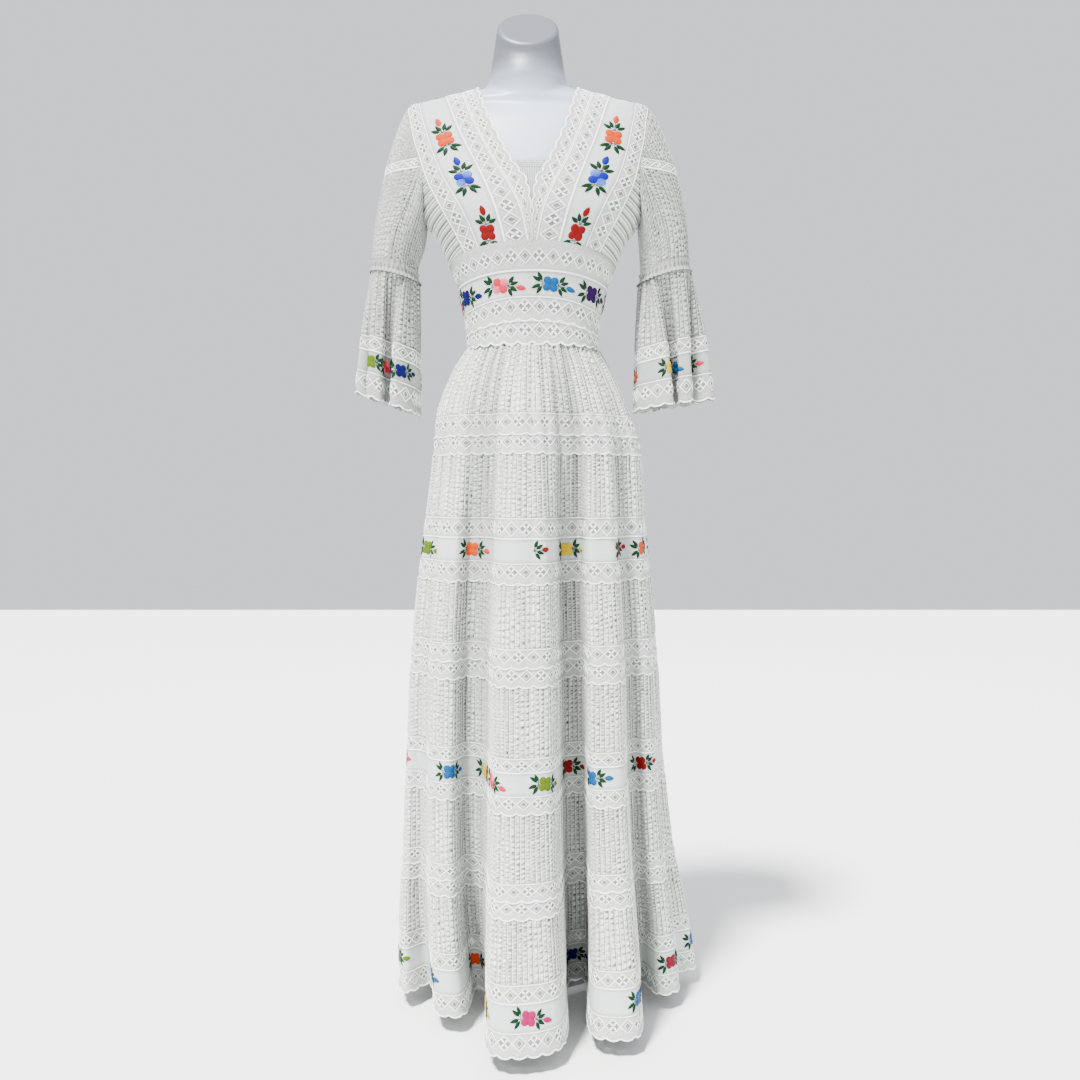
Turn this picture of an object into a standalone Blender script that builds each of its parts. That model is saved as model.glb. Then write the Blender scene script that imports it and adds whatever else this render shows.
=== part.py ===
"""Long white cotton wedding dress with tucked tiers, lace and embroidered bands on a dress form.

Metres, +Z up. The floor is Z = 0, the front faces -Y, and left and right are as seen from the front.
Each sewn piece is a thin closed wall worked out from the driving sizes and the tables below.
"""

import math

import bmesh
import bpy
import numpy as np

# Cloth and seams
WALL = 0.0010
SEAM = 0.0003
HALF_SEAM = SEAM / 2
WELD = 0.000001

# The dress axis, set so that the whole part is centred on the origin
AXIS_X = -0.0035
AXIS_Y = -0.0035

# The neck stands a little to the left of the waist
LEAN = -0.007
LEAN_FROM = 1.19
LEAN_TO = 1.40

# Bodice section: a rounded oval, half width and half depths for each height
SECTION_POWER = 2.3
BODY_COLUMNS = ("height", "half_width", "front", "back")
BODY = (
    (1.0000, 0.0990, 0.085, 0.078),
    (1.0225, 0.0995, 0.086, 0.079),
    (1.0600, 0.1020, 0.088, 0.081),
    (1.0870, 0.1080, 0.091, 0.083),
    (1.1100, 0.1130, 0.095, 0.085),
    (1.1470, 0.1260, 0.104, 0.088),
    (1.1880, 0.1440, 0.114, 0.092),
    (1.2160, 0.1640, 0.118, 0.094),
    (1.2500, 0.1770, 0.114, 0.096),
    (1.2800, 0.1860, 0.105, 0.097),
    (1.3300, 0.1900, 0.087, 0.092),
    (1.3600, 0.1880, 0.073, 0.083),
    (1.3850, 0.1830, 0.057, 0.068),
    (1.3950, 0.1500, 0.049, 0.058),
    (1.4050, 0.1100, 0.041, 0.050),
    (1.4125, 0.0850, 0.035, 0.043),
    (1.4180, 0.0660, 0.030, 0.037),
)

# Midriff: lace, embroidered band, lace and scalloped lace, arched up at the front
MIDRIFF_COLUMNS = ("name", "look", "top_side", "top_rise", "low_side", "low_rise")
MIDRIFF = (
    ("midriff_lace_upper", "lace", 1.1440, 0.0200, 1.1100, 0.0150),
    ("midriff_band", "plain", 1.1100, 0.0150, 1.0715, 0.0190),
    ("midriff_lace_lower", "lace", 1.0715, 0.0190, 1.0405, 0.0165),
    ("midriff_lace_scalloped", "lace", 1.0405, 0.0165, 1.0225, 0.0000),
)
MIDRIFF_COLUMNS_ROUND = 28

# Bodice strips: how far each edge lies from the middle at each angle of rise.
# 0 is the midriff in front, 90 the shoulder ridge and 180 the midriff at the back.
RIDGE_FROM = 1.330
BASE_GAP = 0.0008
STRIP_COLUMNS = ("angle", "neck", "edging", "insertion", "band", "outer")
STRIPS = (
    (0.0, 0.0000, 0.0040, 0.0400, 0.0760, 0.0980),
    (10.0, 0.0000, 0.0140, 0.0520, 0.0930, 0.1180),
    (19.5, 0.0040, 0.0320, 0.0660, 0.1110, 0.1380),
    (28.0, 0.0250, 0.0510, 0.0790, 0.1270, 0.1530),
    (39.74, 0.0450, 0.0700, 0.0960, 0.1420, 0.1645),
    (50.0, 0.0580, 0.0820, 0.1070, 0.1500, 0.1725),
    (62.0, 0.0670, 0.0910, 0.1160, 0.1570, 0.1770),
    (74.0, 0.0720, 0.0970, 0.1220, 0.1610, 0.1805),
    (90.0, 0.0750, 0.1000, 0.1250, 0.1630, 0.1822),
    (106.0, 0.0740, 0.1000, 0.1230, 0.1610, 0.1805),
    (118.0, 0.0720, 0.0960, 0.1180, 0.1560, 0.1770),
    (130.0, 0.0700, 0.0900, 0.1120, 0.1480, 0.1725),
    (140.26, 0.0680, 0.0800, 0.1030, 0.1370, 0.1645),
    (152.0, 0.0640, 0.0680, 0.0930, 0.1270, 0.1540),
    (160.5, 0.0600, 0.0560, 0.0820, 0.1160, 0.1410),
    (170.0, 0.0560, 0.0430, 0.0680, 0.1010, 0.1240),
    (180.0, 0.0520, 0.0300, 0.0530, 0.0840, 0.1050),
)
RISES = (0, 10, 19.5, 28, 39.74, 50, 62, 74, 82, 90, 98, 106, 118, 130, 140.26, 152, 160.5, 170, 180)
JOIN_FRONT = 39.74
JOIN_BACK = 140.26

# Inset behind the foot of the V: angle of rise and half width, and how far behind it lies
INSET_COLUMNS = ("angle", "half_width")
INSET = (
    (10.0, 0.020),
    (19.5, 0.030),
    (28.0, 0.040),
)
INSET_BEHIND = 0.0022

# Back neck: edging from the ridge round to the centre back
BACK_NECK_COLUMNS = ("inner_x", "inner_angle", "outer_x", "outer_angle")
BACK_NECK = (
    (0.0750, 90.0, 0.1000, 90.0),
    (0.0745, 97.0, 0.1000, 98.0),
    (0.0700, 105.0, 0.0930, 110.0),
    (0.0560, 114.0, 0.0740, 120.0),
    (0.0300, 120.0, 0.0400, 128.0),
    (0.0000, 121.5, 0.0000, 131.5),
)

# The panel below it stops short of the corner between the edging and the strips
BACK_NECK_GAP = 0.6
BACK_CORNER = (0.0985, 103.5)

# Armhole below the join: height and distance from the middle
ARMHOLE_COLUMNS = ("height", "reach")
ARMHOLE = (
    (1.2160, 0.1640),
    (1.2320, 0.1630),
    (1.2580, 0.1600),
    (1.2780, 0.1612),
    (1.3025, 0.1645),
)

# Bust tucks raised on the front side panels
TUCKS_PER_ROW = 3
TUCK_RAISE = 0.0012

# Sleeve rings: where the upper sleeve ends, its flounce and its bands
SLEEVE_COLUMNS = ("side", "inner", "outer", "half_depth", "slope", "hem_slope", "out")
SLEEVES = (
    ("left", 0.1770, 0.2440, 0.050, 0.26, 0.36, 0.050),
    ("right", 0.1660, 0.2380, 0.050, 0.30, 0.16, 0.080),
)
ELBOW_HEIGHT = 1.1420
ELBOW_BAND = 0.0100
ARM_LACE_TOP = 1.3000
ARM_LACE_LOW = 1.2843
SLEEVE_DROP = 0.080
SLEEVE_PULL = 0.300
SLEEVE_ROWS = 4
FLOUNCE_COLUMNS = ("name", "look", "top", "low")
FLOUNCE = (
    ("flounce", "tucked", 1.1320, 1.0300),
    ("flounce_lace", "lace", 1.0300, 1.0060),
    ("flounce_band", "plain", 1.0060, 0.9740),
    ("flounce_edging", "lace", 0.9740, 0.9370),
)
FLOUNCE_GATHER = 0.0012
FLOUNCE_OUT = 0.0017
# One row for each fold at the flounce hem: crest place and width, then the valley after it
SLEEVE_FOLD_COLUMNS = ("crest_x", "crest_y", "crest_width", "valley_x", "valley_y", "valley_width")
SLEEVE_FOLDS = {
    "left": (
        (0.1950, -0.0560, 0.034, 0.2200, -0.0300, 0.008),
        (0.2380, -0.0500, 0.020, 0.2480, -0.0260, 0.006),
        (0.2680, -0.0120, 0.024, 0.2540, 0.0140, 0.008),
        (0.2450, 0.0470, 0.026, 0.2170, 0.0260, 0.010),
        (0.1900, 0.0480, 0.030, 0.1760, 0.0000, 0.020),
    ),
    "right": (
        (0.1830, -0.0590, 0.052, 0.2160, -0.0300, 0.008),
        (0.2290, -0.0550, 0.018, 0.2430, -0.0260, 0.006),
        (0.2740, -0.0150, 0.022, 0.2560, 0.0160, 0.008),
        (0.2400, 0.0540, 0.030, 0.2050, 0.0270, 0.012),
        (0.1760, 0.0520, 0.032, 0.1570, 0.0000, 0.020),
    ),
}
SLEEVE_POINTS_PER_FOLD = 5

# Skirt tiers, lace and bands, from the waist down
SKIRT_COLUMNS = ("name", "look", "top", "low")
SKIRT = (
    ("skirt_tier_1", "tucked", 1.0225, 0.9190),
    ("skirt_lace_1_upper", "lace", 0.9190, 0.8890),
    ("skirt_lace_1_lower", "lace", 0.8890, 0.8620),
    ("skirt_tier_2", "tucked", 0.8620, 0.7680),
    ("skirt_lace_2_upper", "lace", 0.7680, 0.7370),
    ("skirt_band_1", "plain", 0.7370, 0.7040),
    ("skirt_lace_2_lower", "lace", 0.7040, 0.6750),
    ("skirt_tier_3", "tucked", 0.6750, 0.5830),
    ("skirt_lace_3_upper", "lace", 0.5830, 0.5565),
    ("skirt_lace_3_lower", "lace", 0.5565, 0.5300),
    ("skirt_tier_4", "tucked", 0.5300, 0.4290),
    ("skirt_lace_4_upper", "lace", 0.4290, 0.4070),
    ("skirt_band_2", "plain", 0.4070, 0.3760),
    ("skirt_lace_4_lower", "lace", 0.3760, 0.3515),
    ("skirt_tier_5", "tucked", 0.3515, 0.2550),
    ("skirt_lace_5_upper", "lace", 0.2550, 0.2315),
    ("skirt_lace_5_lower", "lace", 0.2315, 0.2080),
    ("skirt_tier_6", "tucked", 0.2080, 0.1220),
    ("skirt_lace_6_upper", "lace", 0.1220, 0.0960),
    ("skirt_band_3", "plain", 0.0960, 0.0605),
    ("hem_edging", "lace", 0.0605, 0.0300),
)
# Skirt section without its folds, and how far the hem's folds are felt at each height
FLARE_COLUMNS = ("height", "left", "right", "front", "back", "fold")
FLARE = (
    (1.0225, 0.0995, 0.0995, 0.086, 0.079, 0.00),
    (0.9900, 0.1200, 0.1180, 0.100, 0.096, 0.02),
    (0.9190, 0.1455, 0.1500, 0.124, 0.124, 0.07),
    (0.8700, 0.1500, 0.1640, 0.132, 0.135, 0.10),
    (0.7400, 0.1670, 0.1730, 0.142, 0.152, 0.16),
    (0.5600, 0.1860, 0.1880, 0.149, 0.168, 0.25),
    (0.4000, 0.1940, 0.1960, 0.156, 0.178, 0.36),
    (0.2500, 0.2000, 0.2080, 0.166, 0.188, 0.53),
    (0.1000, 0.2060, 0.2290, 0.183, 0.197, 0.84),
    (0.0300, 0.2050, 0.2350, 0.190, 0.200, 1.00),
)
WAIST_GATHERS = 44
GATHER_RAISE = 0.0016
# One row for each fold at the hem: crest place and width, the valley after it,
# and where round the waist, in degrees from the front, the crest and valley begin
HEM_FOLD_COLUMNS = ("crest_x", "crest_y", "crest_width", "crest_from",
                    "valley_x", "valley_y", "valley_width", "valley_from")
HEM_FOLDS = (
    (-0.2040, 0.0000, 0.052, -92.0, -0.1620, 0.0040, 0.012, -72.0),
    (-0.1220, -0.1040, 0.032, -56.0, -0.0800, -0.0100, 0.022, -36.0),
    (-0.0080, -0.2200, 0.088, -12.0, 0.0700, 0.0200, 0.024, 17.0),
    (0.1190, -0.1740, 0.056, 32.0, 0.1700, 0.0140, 0.012, 52.0),
    (0.2120, -0.0240, 0.034, 66.0, 0.2290, 0.0480, 0.010, 80.0),
    (0.2600, 0.0850, 0.032, 96.0, 0.2080, 0.1120, 0.020, 112.0),
    (0.2000, 0.1930, 0.050, 130.0, 0.1340, 0.1500, 0.020, 146.0),
    (0.0940, 0.2240, 0.050, 160.0, 0.0360, 0.1620, 0.020, 172.0),
    (-0.0200, 0.2360, 0.052, 186.0, -0.0780, 0.1580, 0.020, 200.0),
    (-0.1240, 0.2100, 0.048, 213.0, -0.1480, 0.1360, 0.018, 226.0),
    (-0.1960, 0.1380, 0.044, 238.0, -0.1840, 0.0700, 0.014, 252.0),
)
POINTS_PER_FOLD = 5

# Dress form, neck, pole and foot
FORM_CLEAR = 0.0021
FORM_SEGMENTS = 20
NECK_BLEND = 14
NECK_BLEND_FROM = 1.3550
FORM_COLUMNS = ("height", "half_width", "front", "back")
FORM = (
    (0.8000, 0.0900, 0.070, 0.075),
    (0.8030, 0.1060, 0.083, 0.088),
    (0.8150, 0.1160, 0.091, 0.096),
    (0.8600, 0.1240, 0.098, 0.104),
    (0.9100, 0.1220, 0.098, 0.102),
    (0.9600, 0.1080, 0.088, 0.090),
    (1.0100, 0.0930, 0.079, 0.073),
    (1.0600, 0.0920, 0.078, 0.071),
    (1.1100, 0.1020, 0.085, 0.075),
    (1.1600, 0.1200, 0.096, 0.080),
    (1.2150, 0.1420, 0.106, 0.085),
    (1.2700, 0.1590, 0.098, 0.084),
    (1.3200, 0.1690, 0.083, 0.081),
    (1.3550, 0.1720, 0.069, 0.072),
    (1.3740, 0.1690, 0.056, 0.062),
    (1.3850, 0.1600, 0.048, 0.055),
)
SHOULDER_FROM = 1.3950
NECK_COLUMNS = ("height", "forward", "half_width", "half_depth", "tilt")
NECK = (
    (1.4240, 0.0000, 0.0610, 0.0520, 0.0),
    (1.4380, 0.0000, 0.0575, 0.0515, 8.0),
    (1.4620, 0.0010, 0.0535, 0.0500, 22.0),
    (1.4850, 0.0060, 0.0495, 0.0480, 38.0),
    (1.5010, 0.0150, 0.0460, 0.0450, 50.0),
    (1.5028, 0.0165, 0.0425, 0.0410, 50.0),
)
POLE_RADIUS = 0.0125
POLE_BACK = 0.0150
POLE_SIDES = 20
FOOT_THICK = 0.0120
FOOT_HUB = 0.0360
FOOT_REACH = 0.1750
FOOT_END = 0.0160
FOOT_FRONT_REACH = 0.1650
FOOT_ANGLES = (0.0, 122.0, 238.0)

LOOKS = {
    "tucked": ("cotton_tucked", (0.806, 0.800, 0.768, 1.0), 0.85),
    "plain": ("cotton_plain", (0.838, 0.838, 0.815, 1.0), 0.70),
    "lace": ("cotton_lace", (0.760, 0.752, 0.716, 1.0), 0.90),
    "form": ("form_plastic", (0.800, 0.830, 0.905, 1.0), 0.35),
    "metal": ("stand_metal", (0.780, 0.790, 0.800, 1.0), 0.30),
}


def column(rows, names, name):
    """One named column of a table as an array."""
    return np.array([row[names.index(name)] for row in rows], dtype=float)


def smooth_line(places, values):
    """A function that runs smoothly through the values without overshooting them."""
    order = np.argsort(places)
    x = np.asarray(places, dtype=float)[order]
    y = np.asarray(values, dtype=float)[order]
    step = np.diff(x)
    rise = np.diff(y) / step
    slope = np.empty(len(x))
    slope[0] = rise[0]
    slope[-1] = rise[-1]
    product = rise[:-1] * rise[1:]
    total = np.where(product > 0, rise[:-1] + rise[1:], 1.0)
    slope[1:-1] = np.where(product > 0, 2 * product / total, 0.0)

    def read(place):
        place = np.clip(np.asarray(place, dtype=float), x[0], x[-1])
        k = np.clip(np.searchsorted(x, place, side="right") - 1, 0, len(step) - 1)
        t = (place - x[k]) / step[k]
        t2 = t * t
        t3 = t2 * t
        value = (2 * t3 - 3 * t2 + 1) * y[k] + (t3 - 2 * t2 + t) * step[k] * slope[k]
        return value + (3 * t2 - 2 * t3) * y[k + 1] + (t3 - t2) * step[k] * slope[k + 1]

    return read


def table_lines(rows, names, key):
    """A smooth function for each column of a table, read by the key column."""
    places = column(rows, names, key)
    return {name: smooth_line(places, column(rows, names, name)) for name in names if name != key}


body = table_lines(BODY, BODY_COLUMNS, "height")
strip = table_lines(STRIPS, STRIP_COLUMNS, "angle")
armhole = table_lines(ARMHOLE, ARMHOLE_COLUMNS, "height")
flare = table_lines(FLARE, FLARE_COLUMNS, "height")


def unit(vectors):
    """Vectors scaled to length 1."""
    return vectors / np.linalg.norm(vectors, axis=-1, keepdims=True)


def lean(z):
    """How far the body leans to one side at a height."""
    t = np.clip((z - LEAN_FROM) / (LEAN_TO - LEAN_FROM), 0, 1)
    return LEAN * t * t * (3 - 2 * t)


def fullness(x, y, z):
    """Below 1 inside the bodice and above 1 outside it."""
    depth = np.where(y > 0, body["back"](z), body["front"](z))
    return np.abs(x / body["half_width"](z)) ** SECTION_POWER + np.abs(y / depth) ** SECTION_POWER


def outward(points):
    """Unit normals of the bodice surface at points on it."""
    small = 0.00005
    x, y, z = points[..., 0], points[..., 1], points[..., 2]
    gradient = np.stack([
        fullness(x + small, y, z) - fullness(x - small, y, z),
        fullness(x, y + small, z) - fullness(x, y - small, z),
        fullness(x, y, z + small) - fullness(x, y, z - small),
    ], axis=-1)
    return unit(gradient)


def arch(x, side, rise):
    """Height of a midriff seam at a distance from the middle of the front."""
    return side + rise * np.clip(1 - np.abs(x / body["half_width"](side)) ** SECTION_POWER, 0, 1)


def ridge_height(x):
    """Height of the shoulder ridge at distances from the middle."""
    x = np.abs(x)
    near = np.full(np.shape(x), RIDGE_FROM)
    far = np.full(np.shape(x), BODY[-1][0])
    for turn in range(40):
        middle = (near + far) / 2
        wide = body["half_width"](middle) > x
        near = np.where(wide, middle, near)
        far = np.where(wide, far, middle)
    return near


def over_shoulder(x, angle):
    """Points of the bodice at distances from the middle and angles of rise."""
    x, angle = np.broadcast_arrays(np.asarray(x, dtype=float), np.radians(np.asarray(angle, dtype=float)))
    name, look, side, rise, low_side, low_rise = MIDRIFF[0]
    base = np.where(angle <= math.pi / 2, arch(x, side, rise), side) + BASE_GAP
    z = base + (ridge_height(x) - base) * np.sin(angle)
    flat = np.clip(1 - np.abs(x / body["half_width"](z)) ** SECTION_POWER, 0, 1) ** (1 / SECTION_POWER)
    y = np.where(np.cos(angle) > 0, -body["front"](z), body["back"](z)) * flat
    return np.stack([x, y, z], axis=-1)


def around(turn, z):
    """Points round the bodice section at a height; a turn of 0 is the middle of the front."""
    turn = np.asarray(turn, dtype=float)
    z = np.asarray(z, dtype=float)
    sine = np.sin(turn)
    cosine = np.cos(turn)
    power = 2 / SECTION_POWER
    x = body["half_width"](z) * np.sign(sine) * np.abs(sine) ** power
    depth = np.where(cosine > 0, body["front"](z), body["back"](z))
    y = -depth * np.sign(cosine) * np.abs(cosine) ** power
    return np.stack([x, y, z + 0 * x], axis=-1)


def place(points):
    """Lean the bodice points and set them on the part's axis."""
    moved = np.array(points, dtype=float)
    moved[..., 0] += lean(moved[..., 2]) + AXIS_X
    moved[..., 1] += AXIS_Y
    return moved


def mirror(points):
    """The same points on the other side."""
    return points * np.array([-1.0, 1.0, 1.0])


def shorter(points):
    """Which quads of a grid have the shorter diagonal at their first corner."""
    first = np.linalg.norm(points[1:, 1:] - points[:-1, :-1], axis=-1)
    second = np.linalg.norm(points[1:, :-1] - points[:-1, 1:], axis=-1)
    return first <= second


def add_sheet(mesh, points, split=None):
    """Lay a grid of triangles through rows of points, each quad split along the named diagonal."""
    if split is None:
        split = shorter(points)
    rows, columns = points.shape[:2]
    made = bmesh.ops.create_grid(mesh, x_segments=columns - 1, y_segments=rows - 1, size=1.0)
    for vertex, spot in zip(made["verts"], points.reshape(-1, 3)):
        vertex.co = spot
    faces = list(mesh.faces)[-split.size:]
    for way, chosen in (("FIXED", True), ("ALTERNATE", False)):
        group = [face for face, pick in zip(faces, split.reshape(-1)) if pick == chosen]
        bmesh.ops.triangulate(mesh, faces=group, quad_method=way)


def add_piece(name, look, outer, inner, closed=False):
    """A closed wall between an outer and an inner grid of points."""
    if closed:
        outer = np.concatenate([outer, outer[:, :1]], axis=1)
        inner = np.concatenate([inner, inner[:, :1]], axis=1)
    mesh = bmesh.new()
    split = shorter(outer)
    add_sheet(mesh, outer, split)
    add_sheet(mesh, inner[:, ::-1], ~split[:, ::-1])
    add_sheet(mesh, np.stack([inner[0], outer[0]]))
    add_sheet(mesh, np.stack([outer[-1], inner[-1]]))
    if not closed:
        add_sheet(mesh, np.stack([outer[:, 0], inner[:, 0]]))
        add_sheet(mesh, np.stack([inner[:, -1], outer[:, -1]]))
    bmesh.ops.remove_doubles(mesh, verts=mesh.verts, dist=WELD)
    finish(mesh, name, look)


def finish(mesh, name, look):
    """Turn a finished mesh into a named object with its material."""
    bmesh.ops.recalc_face_normals(mesh, faces=mesh.faces)
    if mesh.calc_volume(signed=True) < 0:
        bmesh.ops.reverse_faces(mesh, faces=mesh.faces)
    data = bpy.data.meshes.new(name)
    mesh.to_mesh(data)
    mesh.free()
    data.materials.append(material(name, look))
    data.shade_smooth()
    data.set_sharp_from_angle(angle=math.radians(50))
    bpy.context.scene.collection.objects.link(bpy.data.objects.new(name, data))


def material(name, look):
    """The piece's own material."""
    base, colour, roughness = LOOKS[look]
    made = bpy.data.materials.new(base + "_" + name)
    made.use_nodes = True
    shader = made.node_tree.nodes["Principled BSDF"]
    shader.inputs["Base Color"].default_value = colour
    shader.inputs["Roughness"].default_value = roughness
    shader.inputs["Metallic"].default_value = 0.0
    return made


def add_cloth(name, look, points, raised=None):
    """A bodice piece: the surface points with a wall inside them, raised outside if asked."""
    normals = outward(points)
    outer = points if raised is None else points + normals * raised[..., None]
    add_piece(name, look, place(outer), place(points - normals * WALL))


def plan_offset(ring, distance):
    """Move a closed level ring sideways into its own inside by an even distance."""
    ahead = np.roll(ring, -1, axis=-2)[..., :2] - ring[..., :2]
    behind = ring[..., :2] - np.roll(ring, 1, axis=-2)[..., :2]
    ahead = unit(ahead)
    behind = unit(behind)
    side_ahead = np.stack([-ahead[..., 1], ahead[..., 0]], axis=-1)
    side_behind = np.stack([-behind[..., 1], behind[..., 0]], axis=-1)
    middle = side_ahead + side_behind
    scale = 2 / np.clip(np.sum(middle * middle, axis=-1, keepdims=True), 0.8, None)
    moved = ring.copy()
    moved[..., :2] += middle * scale * distance
    return moved


def fold_outline(rows, names, count):
    """A closed line through the crests and valleys of a table of folds, and its starts.

    Each fold has four corners: both ends of its crest and both ends of its valley.
    """
    crests = np.stack([column(rows, names, "crest_x"), column(rows, names, "crest_y")], axis=-1)
    valleys = np.stack([column(rows, names, "valley_x"), column(rows, names, "valley_y")], axis=-1)
    crest_width = column(rows, names, "crest_width")
    valley_width = column(rows, names, "valley_width")
    before = np.roll(valleys, 1, axis=0)
    after = np.roll(crests, -1, axis=0)
    along_crest = unit(valleys - before)
    along_valley = unit(after - crests)
    corners = np.stack([
        crests - along_crest * crest_width[:, None] / 2,
        crests + along_crest * crest_width[:, None] / 2,
        valleys - along_valley * valley_width[:, None] / 2,
        valleys + along_valley * valley_width[:, None] / 2,
    ], axis=1).reshape(-1, 2)
    fraction = np.arange(len(rows) * count) / count
    spot = fraction * 4 - 0.5
    return rounded_line(corners, spot)


def rounded_line(corners, spot):
    """Points on a smooth closed line through corners, at places counted in corners."""
    total = len(corners)
    k = np.floor(spot).astype(int)
    t = spot - k
    p = [corners[(k + shift) % total] for shift in (-1, 0, 1, 2)]
    knots = [np.zeros(len(k))]
    for a, b in zip(p[:-1], p[1:]):
        knots.append(knots[-1] + np.linalg.norm(b - a, axis=1) ** 0.5)
    s = knots[1] + (knots[2] - knots[1]) * t

    def mix(a, b, low, high):
        share = ((s - low) / (high - low))[:, None]
        return a * (1 - share) + b * share

    a1 = mix(p[0], p[1], knots[0], knots[1])
    a2 = mix(p[1], p[2], knots[1], knots[2])
    a3 = mix(p[2], p[3], knots[2], knots[3])
    b1 = mix(a1, a2, knots[0], knots[2])
    b2 = mix(a2, a3, knots[1], knots[3])
    return mix(b1, b2, knots[1], knots[2])


def skirt_section(turn, z):
    """Plan points of the skirt without its folds."""
    x = np.where(np.sin(turn) < 0, flare["left"](z), flare["right"](z)) * np.sin(turn)
    y = -np.where(np.cos(turn) > 0, flare["front"](z), flare["back"](z)) * np.cos(turn)
    return np.stack([x, y], axis=-1)


def skirt_ring(z, count):
    """A ring of skirt points at a height, with a number of points for each fold."""
    hem = SKIRT[-1][SKIRT_COLUMNS.index("low")]
    outline = fold_outline(HEM_FOLDS, HEM_FOLD_COLUMNS, count)
    starts = np.stack([column(HEM_FOLDS, HEM_FOLD_COLUMNS, "crest_from"),
                       column(HEM_FOLDS, HEM_FOLD_COLUMNS, "valley_from")], axis=1).reshape(-1)
    starts = np.append(starts, starts[:2] + 360)
    fraction = np.arange(len(outline)) / count
    spot = fraction * 2 - 0.25
    turn = np.radians(turn_at(starts, spot))
    folds = outline - skirt_section(turn, hem)
    plan = skirt_section(turn, z) + flare["fold"](z) * folds
    return np.column_stack([plan, np.full(len(plan), z)])


def turn_at(starts, spot):
    """Degrees round the waist at places counted in half folds."""
    places = np.arange(-1, len(starts) - 1)
    values = np.concatenate([[starts[len(starts) - 3] - 360], starts[:-1]])
    return smooth_line(places, values)(spot)


def build_skirt():
    """Tiers, lace and bands from the waist to the hem."""
    for name, look, top, low in SKIRT:
        count = POINTS_PER_FOLD
        gathered = name == "skirt_tier_1"
        if gathered:
            count = 2 * WAIST_GATHERS // len(HEM_FOLDS)
        rings = [skirt_ring(low + HALF_SEAM, count), skirt_ring(top - HALF_SEAM, count)]
        inner = [plan_offset(ring, WALL) for ring in rings]
        if gathered:
            wave = np.where(np.arange(len(rings[1])) % 2 == 0, -1.0, 0.0)[:, None]
            shift = plan_offset(rings[1], GATHER_RAISE)
            rings[1] = rings[1] + (rings[1] - shift) * -wave
        add_ring_piece(name, look, rings, inner)


def add_ring_piece(name, look, rings, inner):
    """A closed tube wall from level rings, set on the part's axis."""
    shift = np.array([AXIS_X, AXIS_Y, 0.0])
    add_piece(name, look, np.stack(rings) + shift, np.stack(inner) + shift, closed=True)


def build_midriff():
    """Four level bands between the bodice and the skirt, arched up in front."""
    turn = np.arange(MIDRIFF_COLUMNS_ROUND) * 2 * math.pi / MIDRIFF_COLUMNS_ROUND
    for name, look, top_side, top_rise, low_side, low_rise in MIDRIFF:
        edges = []
        for side, rise, gap in ((low_side, low_rise, HALF_SEAM), (top_side, top_rise, -HALF_SEAM)):
            z = np.full(len(turn), side)
            for repeat in range(6):
                x = around(turn, z)[:, 0]
                z = np.where(np.cos(turn) > 0, arch(x, side, rise), side)
            edges.append(z + gap)
        rows = [around(turn, edges[0] + (edges[1] - edges[0]) * f) for f in (0.0, 1.0)]
        points = np.stack(rows)
        normals = outward(points)
        normals[..., 2] = 0
        inner = points - unit(normals) * WALL
        add_piece(name, look, place(points), place(inner), closed=True)


def strip_grid(inner_edge, outer_edge, parts, rises=RISES):
    """Rows of points between two edges of a strip over the shoulder."""
    rises = np.array(rises, dtype=float)
    inner = strip[inner_edge](rises) + HALF_SEAM
    outer = strip[outer_edge](rises) - HALF_SEAM
    share = np.linspace(0, 1, parts + 1)
    x = inner[:, None] * (1 - share) + outer[:, None] * share
    return over_shoulder(x, rises[:, None] + 0 * x)


def build_strips():
    """Insertion lace, embroidered bands and outer lace on both sides."""
    rows = (("bodice_lace_inner", "lace", "edging", "insertion", 1),
            ("bodice_band", "plain", "insertion", "band", 2),
            ("bodice_lace_outer", "lace", "band", "outer", 1))
    for name, look, inner_edge, outer_edge, parts in rows:
        points = strip_grid(inner_edge, outer_edge, parts)
        add_cloth(name + "_right", look, points)
        add_cloth(name + "_left", look, mirror(points))


def build_neck_edging():
    """One scalloped strip from the foot of the V round the neck and back."""
    front = np.array([rise for rise in RISES if rise < 89], dtype=float)
    inner = [np.maximum(strip["neck"](front), 0) + HALF_SEAM, front]
    outer = [strip["edging"](front) - HALF_SEAM, front]
    back = np.array(BACK_NECK)
    inner_x = np.concatenate([inner[0], back[:, 0]])
    inner_angle = np.concatenate([inner[1], back[:, 1]])
    outer_x = np.concatenate([outer[0], back[:, 2] - HALF_SEAM * (back[:, 2] > 0)])
    outer_angle = np.concatenate([outer[1], back[:, 3]])
    half = np.stack([over_shoulder(inner_x, inner_angle), over_shoulder(outer_x, outer_angle)], axis=1)
    whole = np.concatenate([half, mirror(half[:-1][::-1])])
    add_cloth("neck_edging", "lace", whole)


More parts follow.
